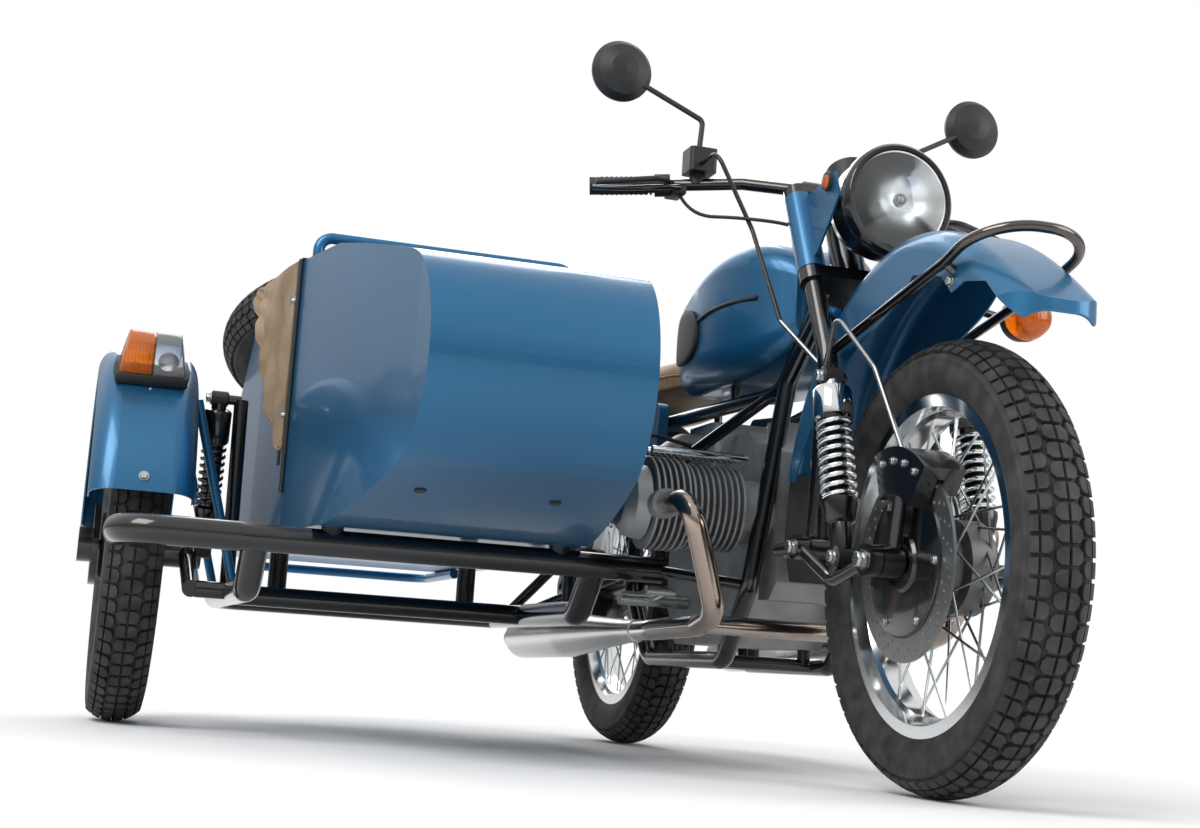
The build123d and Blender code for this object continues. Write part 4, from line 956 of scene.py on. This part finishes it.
@dataclass
class Headlight(Dresser):
    """Round lamp: black rim, bright dish with its bulb, and fluted glass in front."""

    body: str = "steering"
    back: Vector = at(0, 344, 960)
    radius: float = 94.0

    def dress(self) -> None:
        """Builds dish, bulb shield, glass and rim, all about the lamp's own axis."""
        where = facing(self.back, Vector((0, -1, 0)))
        wide = self.radius - 10.0
        dish = [(129.0, 8.0), (130.0, 22.0), (133.0, 42.0), (137.0, 60.0), (142.0, wide)]
        dish += [(140.5, wide + 0.2), (131.0, 60.0), (128.6, 40.0), (128.5, 8.0)]
        self.keep(lathe("headlight_dish", [*dish, dish[0]], where, 64), Metal.MIRROR, "chrome")
        shield = [(128.6, 0.0), (128.6, 9.0), (139.0, 9.0), (141.0, 6.0), (141.5, 0.0)]
        self.keep(lathe("headlight_bulb", shield, where, 24), Metal.STEEL, "steel")
        face = [(143.0, wide), (145.0, wide), (150.0, 62.0), (155.0, 40.0), (158.5, 20.0), (159.8, 0.0)]
        inner = [(156.8, 0.0), (155.5, 20.0), (152.0, 40.0), (147.0, 62.0), (143.0, wide - 3)]
        glass = lathe("headlight_glass", [*face, *inner], where, 64)
        self.keep(glass, Moulded.GLASS, "clear_glass", ["headlight_lens"])
        rim = [(118.0, 93.2), (121.0, 97.0), (128.0, 98.0), (142.0, 96.5), (147.0, 92.0), (146.5, 86.0)]
        rim += [(143.5, 84.5), (143.0, 90.0), (126.0, 93.2), (118.0, 93.2)]
        self.keep(lathe("headlight_rim", rim, where, 72), Coat.BLACK, "black_paint")


@dataclass
class SignalLamps(Dresser):
    """Turn signal under the bars, tail lamp, and the two-part lamp on the sidecar's fender."""

    fender_axle: Vector = at(-1139, 1258, 343)
    fender_radius: float = 392.4
    lamp_angle: float = math.radians(128)

    def dress(self) -> None:
        """Builds the lamps where their solids stand."""
        self.turn_signal()
        self.fender_lamp()
        self.tail_lamp()
        self.reflectors()

    def turn_signal(self) -> None:
        """Black cup on its stalk, with a stepped amber lens."""
        self.body = "steering"
        where = facing(at(200, 165, 771), Vector((0, -1, 0)))
        cup = [(6.0, 0.0), (6.0, 18.0), (13.0, 36.0), (30.0, 38.5), (32.0, 38.5), (32.0, 36.0)]
        cup += [(20.0, 34.0), (14.0, 0.0)]
        self.keep(lathe("signal_cup", cup, where, 40), Moulded.PLASTIC, "black_plastic")
        lens = [(24.0, 0.0), (24.0, 33.5), (33.0, 37.5), (46.0, 37.5), (48.0, 36.0), (59.0, 34.5)]
        lens += [(66.0, 28.0), (70.0, 14.0), (71.0, 0.0)]
        self.keep(lathe("signal_lens", lens, where, 40), Moulded.AMBER, "amber_lens", ["turn_signal"])

    def fender_lamp(self) -> None:
        """Tapered lamp with an amber outer half and a clear inner half, on a black foot."""
        self.body = "chassis"
        out = Vector((0, math.cos(self.lamp_angle), math.sin(self.lamp_angle)))
        foot = self.fender_axle + out * self.fender_radius * MM
        along = Vector((1, 0, 0))
        turn = Matrix((along, out.cross(along), out)).transposed().to_4x4()
        where = Matrix.Translation(foot) @ turn
        outline = [(-66, -36), (66, -36), (70, 0), (66, 36), (-66, 36), (-70, 0)]
        base = prism("lamp_base", outline, 22.0, where)
        self.keep(base, Moulded.PLASTIC, "black_plastic", ["fender_lamp"], 3.0)
        window = [(0.4, -31), (61.0, -31), (61.0, 31), (0.4, 31)]
        for side, name, finish, slot in (
            (-1, "lamp_amber", Moulded.AMBER, "amber_lens"),
            (1, "lamp_clear", Moulded.SMOKE, "clear_glass"),
        ):
            lens = prism(name, window, 66.0, Matrix.Translation((0, 0, 21 * MM)))
            for vertex in lens.data.vertices:
                if vertex.co.z > 30 * MM:
                    vertex.co.x *= 0.78
                    vertex.co.y *= 0.82
            lens.data.transform(Matrix.Diagonal((side, 1, 1, 1)))
            with editing(lens):
                bpy.ops.mesh.normals_make_consistent(inside=False)
            self.keep(place(lens, where), finish, slot, (), 4.0)
        front = -out.cross(along) if out.cross(along).y > 0 else out.cross(along)
        self.bolts("lamp_screw", [(foot + front * 38 * MM - out * 6 * MM, front)], 8.0)
        pane = facing(foot + front * 27.5 * MM + out * 52 * MM + along * 27 * MM, front + out * 0.1)
        dome = lathe("lamp_bullseye", [(0, 0), (0, 19), (3, 17), (6, 9), (7, 0)], pane, 28)
        self.keep(dome, Moulded.SMOKE, "clear_glass")

    def tail_lamp(self) -> None:
        """Round red lens in a black bezel behind the rear fender."""
        lean = math.radians(30)
        where = facing(at(0, 1793.2, 606.4), Vector((0, math.cos(lean), math.sin(lean))))
        bezel = [(3.4, 0.0), (3.4, 46.0), (24.0, 47.0), (30.0, 44.0), (30.0, 40.0), (12.0, 40.0)]
        bezel += [(12.0, 0.0)]
        self.keep(lathe("tail_bezel", bezel, where, 48), Moulded.PLASTIC, "black_plastic")
        lens = [(13.0, 0.0), (13.0, 39.6), (32.0, 40.0), (44.0, 37.0), (56.0, 30.0), (62.0, 18.0)]
        lens += [(64.0, 0.0)]
        self.keep(lathe("tail_lens", lens, where, 48), Moulded.RED, "red_lens", ["tail_lamp"])

    def reflectors(self) -> None:
        """Amber reflector on each headlight ear, in a black frame."""
        self.body = "steering"
        for side, name in ((-1, "right"), (1, "left")):
            spot = at(side * 103.5, 262, 992)
            where = facing(spot, Vector((side, 0, 0)))
            band = [(0, 0), (0, 17.0), (5.0, 16.0), (5.0, 13.0), (3.0, 12.0), (3.0, 0)]
            rim = lathe(name + "_reflector_rim", band, where, 24)
            self.keep(rim, Moulded.PLASTIC, "black_plastic")
            face = lathe(name + "_reflector", [(3.2, 0.0), (3.2, 12.4), (6.0, 11.0), (7.0, 0.0)], where, 24)
            self.keep(face, Moulded.AMBER, "amber_lens")


@dataclass
class FrontBrake(Dresser):
    """Drilled disc's black carrier, and the bolts of its caliper."""

    body: str = "front_wheel"
    disc_x: float = -67.2
    axle: Vector = at(0, 0, 343)

    def dress(self) -> None:
        """Builds the carrier on the wheel, and the caliper's fittings on the steering."""
        out = Vector((-1, 0, 0))
        face = facing(self.axle + out * -self.disc_x * MM, out)
        hat = [(-1.0, 30.0), (-1.0, 112.0), (2.4, 112.0), (3.6, 108.0), (3.6, 44.0), (8.0, 40.0)]
        hat += [(8.0, 30.0)]
        self.keep(lathe("disc_carrier", hat, face, 64), Coat.BLACK, "black_paint")
        spots = []
        for i in range(6):
            turn = math.tau * i / 6
            spot = Vector((math.cos(turn) * 100, math.sin(turn) * 100, 3.0)) * MM
            spots.append((face @ spot, out))
        self.bolts("carrier_bolts", spots, 10.0)
        self.body = "steering"
        spots = []
        for angle in (80, 94, 108, 122):
            turn = math.radians(angle)
            spot = self.axle + Vector((-0.0985, 0.150 * math.cos(turn), 0.150 * math.sin(turn)))
            spots.append((spot, out))
        self.bolts("caliper_bolts", spots, 9.0)


@dataclass
class Fasteners(Dresser):
    """Bolts, nuts and studs that show on the machine."""

    # Piece's name, body, across flats, side-paired places as (x, y, z) and axis of the right-hand one
    PAIRED = (
        ("link_pivot_bolts", "steering", 19.0, (-136.5, 262, 375), (-1, 0, 0)),
        ("link_axle_nuts", "steering", 22.0, (-137.0, 0, 343), (-1, 0, 0)),
        ("bow_bolts", "steering", 13.0, (-76.2, -130, 747), (-1, 0, 0)),
        ("cylinder_head_nuts", "chassis", 11.0, (-346.0, 538, 495), (-1, 0, 0)),
        ("cylinder_head_low_nuts", "chassis", 11.0, (-346.0, 582, 415), (-1, 0, 0)),
    )

    def dress(self) -> None:
        """Sets each pair, one bolt on either side of the bike."""
        for name, body, across, (x, y, z), axis in self.PAIRED:
            self.body = body
            way = Vector(axis)
            other = Vector((-axis[0], axis[1], axis[2]))
            self.bolts(name, [(at(x, y, z), way), (at(-x, y, z), other)], across)
        self.body = "chassis"
        self.bolts("fender_bolt", [(at(-1139, 880.6, 452), Vector((0, -377, 109)))], 13.0)


@dataclass
class TubTrim(Dresser):
    """Dark strip of painted shade along the tub's edge, hem strip, turn buttons and drain slots of the
    sidecar's tub.
    """

    middle: float = -607.0

    def dress(self) -> None:
        """Builds what is fastened to the tub's skin."""
        self.buttons()
        self.slots()

    def buttons(self) -> None:
        """Hem strip of the cover's flap, with the turn buttons that hold it, and a black strip of painted
        shade down the tub's near edge.
        """
        face = self.middle - 281.5
        corners = [(951, 900), (999, 902), (996, 600), (990, 545), (962, 545), (951, 575)]
        strip = prism("hem_strip", [(y - 951, z - 900) for y, z in corners], 2.0, Matrix.Identity(4))
        turn = Matrix(((0, 0, -1, 0), (1, 0, 0, 0), (0, 1, 0, 0), (0, 0, 0, 1)))
        place(strip, Matrix.Translation(at(face + 2.0, 951, 900)) @ turn)
        with editing(strip):
            bpy.ops.mesh.normals_make_consistent(inside=False)
        self.keep(strip, Soft.HEM, "canvas", (), 0.6)
        made = []
        for y, z in ((968, 822), (968, 600)):
            spot = at(face, y, z)
            way = Vector((-1, 0, 0))
            stud = [(0, 0), (0, 10), (1.5, 10), (2.5, 5), (8, 4), (9, 0)]
            made.append(lathe("button", stud, facing(spot, way), 20))
            wing = [(-3, -9), (3, -9), (3, 9), (-3, 9)]
            made.append(prism("button_grip", wing, 5.0, facing(spot + way * 7 * MM, way)))
        self.keep(joined("turn_buttons", made), Metal.STEEL, "steel")
        # Painted shade: a thin black tube down the tub's near edge stands in for the shade line where the
        # side panel turns
        edge = [at(self.middle - 278.5, 948.5, z) for z in (900, 780, 620, 450)]
        self.keep(tube("tub_edge_painted_shade_strip", edge, 4.5), Moulded.FLAP, "rubber")

    def slots(self) -> None:
        """Rubber-lined drain slots low in the nose, flat on its skin."""
        tub = bpy.data.objects["tub_shell"]
        outline = [(-9, -5), (-5, -9), (5, -9), (9, -5), (9, 5), (5, 9), (-5, 9), (-9, 5)]
        made = []
        for x in (-129, 93):
            _, spot, normal, _ = tub.closest_point_on_mesh(at(self.middle + x, 358, 420))
            made.append(prism("slot", outline, 2.0, facing(spot, normal)))
        self.keep(joined("nose_slots", made), Moulded.PLASTIC, "black_plastic")


@dataclass
class CoverCloth(Dresser):
    """Canvas over the cockpit, pulled tight across it and hanging down the tub's right side as a flap."""

    middle: float = -607.0
    front: float = 950.0
    back: float = 1438.0
    half: float = 297.0
    rows: int = 40
    columns: int = 72

    def drop(self, y: float) -> float:
        """Length of the flap below the tub's edge, in millimetres, at a station along the tub."""
        if y < 1010:
            return 338.0 + 32.0 * min(1.0, (y - self.front) / 40)
        return max(2.0, 370.0 * (1 - (y - 1010) / (self.back - 1010)))

    def top(self, y: float) -> float:
        """Height of the tub's rim under the cloth."""
        return 903.0 + (934.0 - 903.0) * (y - self.front) / (self.back - self.front)

    def spot(self, along: float, across: float) -> Vector:
        """Point of the cloth: along from 0 to 1, across from its left edge, and past 1 down the flap."""
        y = self.front + (self.back - self.front) * along
        rise = 11.0 * math.sin(math.pi * along) * math.sin(math.pi * min(across, 1.0))
        crease = 2.2 * math.sin(9.0 * along + 5.0 * across) * math.sin(math.pi * along)
        side = self.half - 22.0 + 21.0 * min(1.0, (y - self.front) / 350)
        if across <= 1:
            x = side - 2 * side * across
            return at(self.middle + x, y, self.top(y) + rise + crease)
        fall = (across - 1) / 0.6
        down = self.drop(y) * fall
        loose = min(1.0, along / 0.22) ** 2
        wave = 6.0 * math.sin(21.0 * along + 2.0 * fall) * fall * loose
        folds = 11.0 * fall * (1 + math.sin(34.0 * along + 3.0 * fall))
        bulge = (folds + 5.0 * math.sin(math.pi * 3 * fall) ** 2) * loose
        return at(self.middle - side - 2.5 - bulge, y + wave, self.top(y) - down)

    def dress(self) -> None:
        bpy.ops.object.select_all(action="DESELECT")
        bpy.ops.mesh.primitive_grid_add(x_subdivisions=self.rows, y_subdivisions=self.columns, size=1.0)
        cloth = bpy.context.object
        cloth.name = "cover_cloth"
        for vertex in cloth.data.vertices:
            vertex.co = self.spot(vertex.co.x + 0.5, (vertex.co.y + 0.5) * 1.6)
        applied(cloth, "SOLIDIFY", thickness=1.6 * MM, offset=1.0)
        with editing(cloth):
            bpy.ops.mesh.normals_make_consistent(inside=False)
        self.keep(cloth, Soft.CLOTH, "canvas", ["tonneau_cover"])
        edge = [self.spot(i / 24, 1.6) for i in range(25)]
        hem = self.keep(tube("cover_hem", edge, 2.6), Soft.CLOTH, "canvas")
        corner = self.spot(0.1, 1.6)
        line = [self.spot(0.1, 1.59), corner - Vector((0, 0, 12 * MM)), corner - Vector((0, 0, 30 * MM))]
        strap = self.keep(tube("cover_strap", line, 3.0), Moulded.FLAP, "rubber")


@dataclass
class SeatPad(Dresser):
    """Two-up bench seat: foam under leather, with cross seams and piping."""

    front: float = 985.0
    back: float = 1640.0

    # Share of the length, half width, foot and top, in millimetres
    SECTIONS = (
        (0.0, 70.0, 752.0, 800.0),
        (0.06, 92.0, 746.0, 816.0),
        (0.3, 112.0, 745.0, 822.0),
        (0.5, 132.0, 745.0, 826.0),
        (0.75, 139.0, 745.0, 837.0),
        (0.95, 128.0, 747.0, 833.0),
        (1.0, 104.0, 754.0, 815.0),
    )

    def dress(self) -> None:
        """Shapes a bar of foam by its sections, softens it and lays the piping."""
        bpy.ops.object.select_all(action="DESELECT")
        bpy.ops.mesh.primitive_cube_add(size=1.0)
        pad = bpy.context.object
        pad.name = "seat_pad"
        with editing(pad):
            bpy.ops.mesh.subdivide(number_cuts=15)
        for vertex in pad.data.vertices:
            share = vertex.co.y + 0.5
            half, low, high = self.section(share)
            lean = 1.0 - 0.16 * max(0.0, vertex.co.z * 2) ** 2
            crown = 1.0 - 0.14 * (2 * vertex.co.x) ** 2
            dips = [math.exp(-(((share - s) * 60) ** 2)) for s in (0.38, 0.56, 0.74)]
            seam = 3.0 * max(dips) * (vertex.co.z > 0.4)
            z = low + (high - low) * (vertex.co.z + 0.5) * (crown if vertex.co.z > 0 else 1.0) - seam
            vertex.co = at(2 * vertex.co.x * half * lean, self.front + (self.back - self.front) * share, z)
        applied(pad, "SMOOTH", factor=0.5, iterations=4)
        applied(pad, "SUBSURF", levels=1)
        self.keep(pad, Soft.SEAT, "leather", ["rider_seat"])
        line = []
        for i in range(13):
            share = 0.03 + 0.94 * i / 12
            half, low, high = self.section(share)
            y = self.front + (self.back - self.front) * share
            line.append(at(-half * 0.985, y, low + 0.42 * (high - low)))
        for side, name in ((1, "right"), (-1, "left")):
            spots = [Vector((BIKE_X + side * (p.x - BIKE_X), p.y, p.z)) for p in line]
            self.keep(tube(name + "_piping", spots, 3.0), Soft.SEAT, "leather")

    def section(self, share: float) -> tuple[float, float, float]:
        """Half width, foot and top at a share of the length."""
        for (s0, *first), (s1, *second) in zip(self.SECTIONS, self.SECTIONS[1:]):
            if share <= s1 + 1e-6:
                part = (share - s0) / (s1 - s0)
                half, low, high = (a + (b - a) * part for a, b in zip(first, second))
                return half, low, high
        return self.SECTIONS[-1][1:]


@dataclass
class EngineTrim(Dresser):
    """Bright and rubber fittings outside the flat twin: pushrod tubes, plug caps and leads."""

    def dress(self) -> None:
        """Builds the fittings of both cylinders."""
        for side, name in ((-1, "right"), (1, "left")):
            rods = []
            for y in (520, 548):
                line = [at(side * x, y, 545) for x in (122, 210, 300)]
                rods.append(tube("pushrod", line, 8.0))
            self.keep(joined(name + "_pushrod_tubes", rods), Metal.CHROME, "chrome")
            where = facing(at(side * 318, 620, 520), Vector((side * 0.5, 0.4, 0.8)))
            cap = lathe(name + "_plug_cap", [(0, 0), (0, 9), (26, 9), (34, 7), (36, 0)], where, 18)
            stations = ((332, 632, 548), (330, 650, 585), (240, 690, 600), (130, 720, 580))
            wire = tube(name + "_plug_lead", [at(side * x, y, z) for x, y, z in stations], 3.8)
            self.keep(joined(name + "_ignition", [cap, wire]), Moulded.FLAP, "rubber")


@dataclass
class Cockpit(Dresser):
    """What the rider holds and looks at: levers, cables, ribbed grips and mirror glass."""

    body: str = "steering"

    # Runs of the left lever and the left cable, as (x, y, z)
    LEVER = ((258, 578, 1040), (300, 566, 1032), (360, 590, 1026), (412, 616, 1028))
    CABLE = ((252, 590, 1028), (250, 530, 975), (190, 440, 960), (100, 400, 950), (60, 380, 930))

    def dress(self) -> None:
        """Builds both sides alike."""
        for side, name in ((-1, "right"), (1, "left")):
            lever = [at(side * x, y, z) for x, y, z in self.LEVER]
            self.keep(tube(name + "_lever", lever, 5.0), Coat.BLACK, "black_paint")
            where = facing(at(side * 254, 602, 1030), Vector((0, 0, 1)))
            perch = prism(name + "_perch", [(-14, -34), (14, -34), (12, 20), (-12, 20)], 20.0, where)
            self.keep(perch, Moulded.PLASTIC, "black_plastic", (), 3.0)
            where = facing(at(side * 365, 642, 1262), Vector((0, 1, 0)))
            pane = [(0.2, 0.0), (0.2, 51.0), (1.2, 50.0), (1.8, 0.0)]
            self.keep(lathe(name + "_mirror_glass", pane, where, 40), Metal.CHROME, "chrome")
            self.keep(self.grip(name, side), Moulded.FLAP, "rubber")
            cable = [at(side * x, y, z) for x, y, z in self.CABLE]
            self.keep(tube(name + "_cable", cable, 3.2), Moulded.FLAP, "rubber")

    def grip(self, name: str, side: float) -> bpy.types.Object:
        """Ribs round one grip, in its own rubber."""
        way = Vector((side * 132, 40, -10)).normalized()
        start = at(side * 290, 617.5, 1048.6)
        ribs = []
        for i in range(11):
            profile = [(0, 16.3), (0.6, 17.4), (3.4, 17.4), (4.0, 16.3), (0, 16.3)]
            ribs.append(lathe("rib", profile, facing(start + way * (8 + 9.0 * i) * MM, way), 24))
        return joined(name + "_grip_ribs", ribs)


@dataclass
class TankTrim(Dresser):
    """Rubber knee pads and bands on the tank's sides."""

    pad_y: float = 818.0
    pad_z: float = 806.0

    # Run of the rubber band along the tank's widest line, as (y, z)
    BAND = ((480, 842), (560, 841), (640, 839), (700, 834), (750, 826))

    def dress(self) -> None:
        """Wraps each pad and each band onto the tank."""
        tank = bpy.data.objects["fuel_tank"]
        for side, name in ((-1, "right"), (1, "left")):
            bpy.ops.object.select_all(action="DESELECT")
            bpy.ops.mesh.primitive_circle_add(vertices=40, radius=1.0, fill_type="NGON")
            pad = bpy.context.object
            pad.name = name + "_knee_pad"
            with editing(pad):
                bpy.ops.mesh.inset(thickness=0.25)
                bpy.ops.mesh.inset(thickness=0.25)
                bpy.ops.mesh.inset(thickness=0.2)
                bpy.ops.mesh.poke()
            shape = Matrix.Diagonal((0.095, 0.058, 1.0, 1.0))
            place(pad, facing(at(side * 190, self.pad_y, self.pad_z), Vector((side, 0, 0))) @ shape)
            applied(pad, "SHRINKWRAP", target=tank, wrap_method="NEAREST_SURFACEPOINT", offset=0.5 * MM)
            applied(pad, "SOLIDIFY", thickness=6.0 * MM, offset=1.0)
            with editing(pad):
                bpy.ops.mesh.normals_make_consistent(inside=False)
            self.keep(pad, Moulded.FLAP, "rubber", (), 2.0)
            line = [tank.closest_point_on_mesh(at(side * 190, y, z))[1] for y, z in self.BAND]
            self.keep(tube(name + "_tank_band", line, 5.0), Moulded.FLAP, "rubber")


@dataclass
class PaintShop:
    """Gives every solid that stays in view its finish."""

    wheels: Sequence[WheelPlace]

    # Solids by finish; what another class replaces isn't listed
    FINISHES = {
        Coat.BLUE: (
            "fuel_tank",
            "side_covers",
            "rear_fender",
            "tub_shell",
            "tub_rails",
            "sidecar_fender",
            "fork_covers",
            "front_fender",
            "trunk_lid",
        ),
        Coat.BLACK: (
            "main_frame",
            "swingarm",
            "sidecar_frame",
            "bumper_tube",
            "sidecar_struts",
            "sidecar_swingarm",
            "fork",
            "leading_link",
            "brake_caliper",
            "headlight_shell",
            "handlebar",
        ),
        Moulded.PLASTIC: ("hand_controls", "mirrors", "instrument"),
        Moulded.FLAP: ("mud_flap",),
        Metal.ALLOY: ("engine_block", "cylinders", "carburettors"),
        Metal.TUBE: ("exhaust_pipes",),
        Metal.BRIGHT: ("mufflers",),
        Metal.DARK: ("fender_rail",),
        Metal.STEEL: ("foot_controls",),
        Metal.DISC: ("front_disc",),
        Metal.BRAID: ("hoses_cables",),
    }

    def dress(self, nodes: dict[str, bpy.types.Object]) -> None:
        """Assigns the finishes, with one for each wheel about its own axle.

        Args:
            nodes: The frame's solids by name.
        """
        for finish, names in self.FINISHES.items():
            for name in names:
                self.paint(nodes[name], finish.value)
        for wheel in self.wheels:
            metal = WheelMetal(
                wheel.name + "_wheel_metal",
                "#D5D7D8",
                0.12,
                1.0,
                relief=0.03,
                centre=wheel.centre[:],
                axle=wheel.axle[:],
            )
            self.paint(nodes[wheel.name + "_wheel"], metal)

    def paint(self, node: bpy.types.Object, finish: Finish) -> None:
        """Puts a finish on all of one solid."""
        node.data.materials.clear()
        node.data.materials.append(finish.material())


def main() -> None:
    """Builds the sub-assemblies in order."""
    logging.basicConfig(level=logging.INFO, format="%(message)s")
    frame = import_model()
    Studio().build()
    lid_tilt = math.radians(20)
    wheels = [
        WheelPlace.of_tyre("front", "front_wheel", Vector((1, 0, 0))),
        WheelPlace.of_tyre("rear", "rear_wheel", Vector((1, 0, 0))),
        WheelPlace.of_tyre("sidecar", "sidecar_wheel", Vector((-1, 0, 0))),
        WheelPlace.of_tyre("spare", "trunk_lid", Vector((0, math.sin(lid_tilt), math.cos(lid_tilt)))),
    ]
    TreadedTyre().dress(wheels)
    for side, name in ((-1, "right"), (1, "left")):
        foot = at(side * 121, 100, 352)
        top = at(side * 121, 178, 645)
        CoilShock(name + "_front", foot, top, replaces=["front_shocks"], eye_side=side).dress()
        rear = (at(side * 168, 1420, 378), at(side * 168, 1330, 680))
        CoilShock(
            name + "_rear",
            *rear,
            body="chassis",
            replaces=["rear_shocks"],
            coil_radius=28.0,
            turns=11.0,
            coil_from=80.0,
            coil_to=242.0,
            eye_side=side,
        ).dress()
    CoilShock(
        "side",
        at(-1000, 1205, 345),
        at(-1000, 1125, 640),
        body="chassis",
        replaces=["sidecar_shock"],
        slot="black_paint",
        coil_radius=21.0,
        coil_from=92.0,
        coil_to=220.0,
        bright=False,
        eye_side=-1.0,
    ).dress()
    Headlight().dress()
    SignalLamps().dress()
    FrontBrake().dress()
    Fasteners().dress()
    TubTrim().dress()
    CoverCloth().dress()
    SeatPad().dress()
    EngineTrim().dress()
    Cockpit().dress()
    TankTrim().dress()
    PaintShop(wheels).dress(frame["nodes"])


if __name__ == "__main__":
    main()
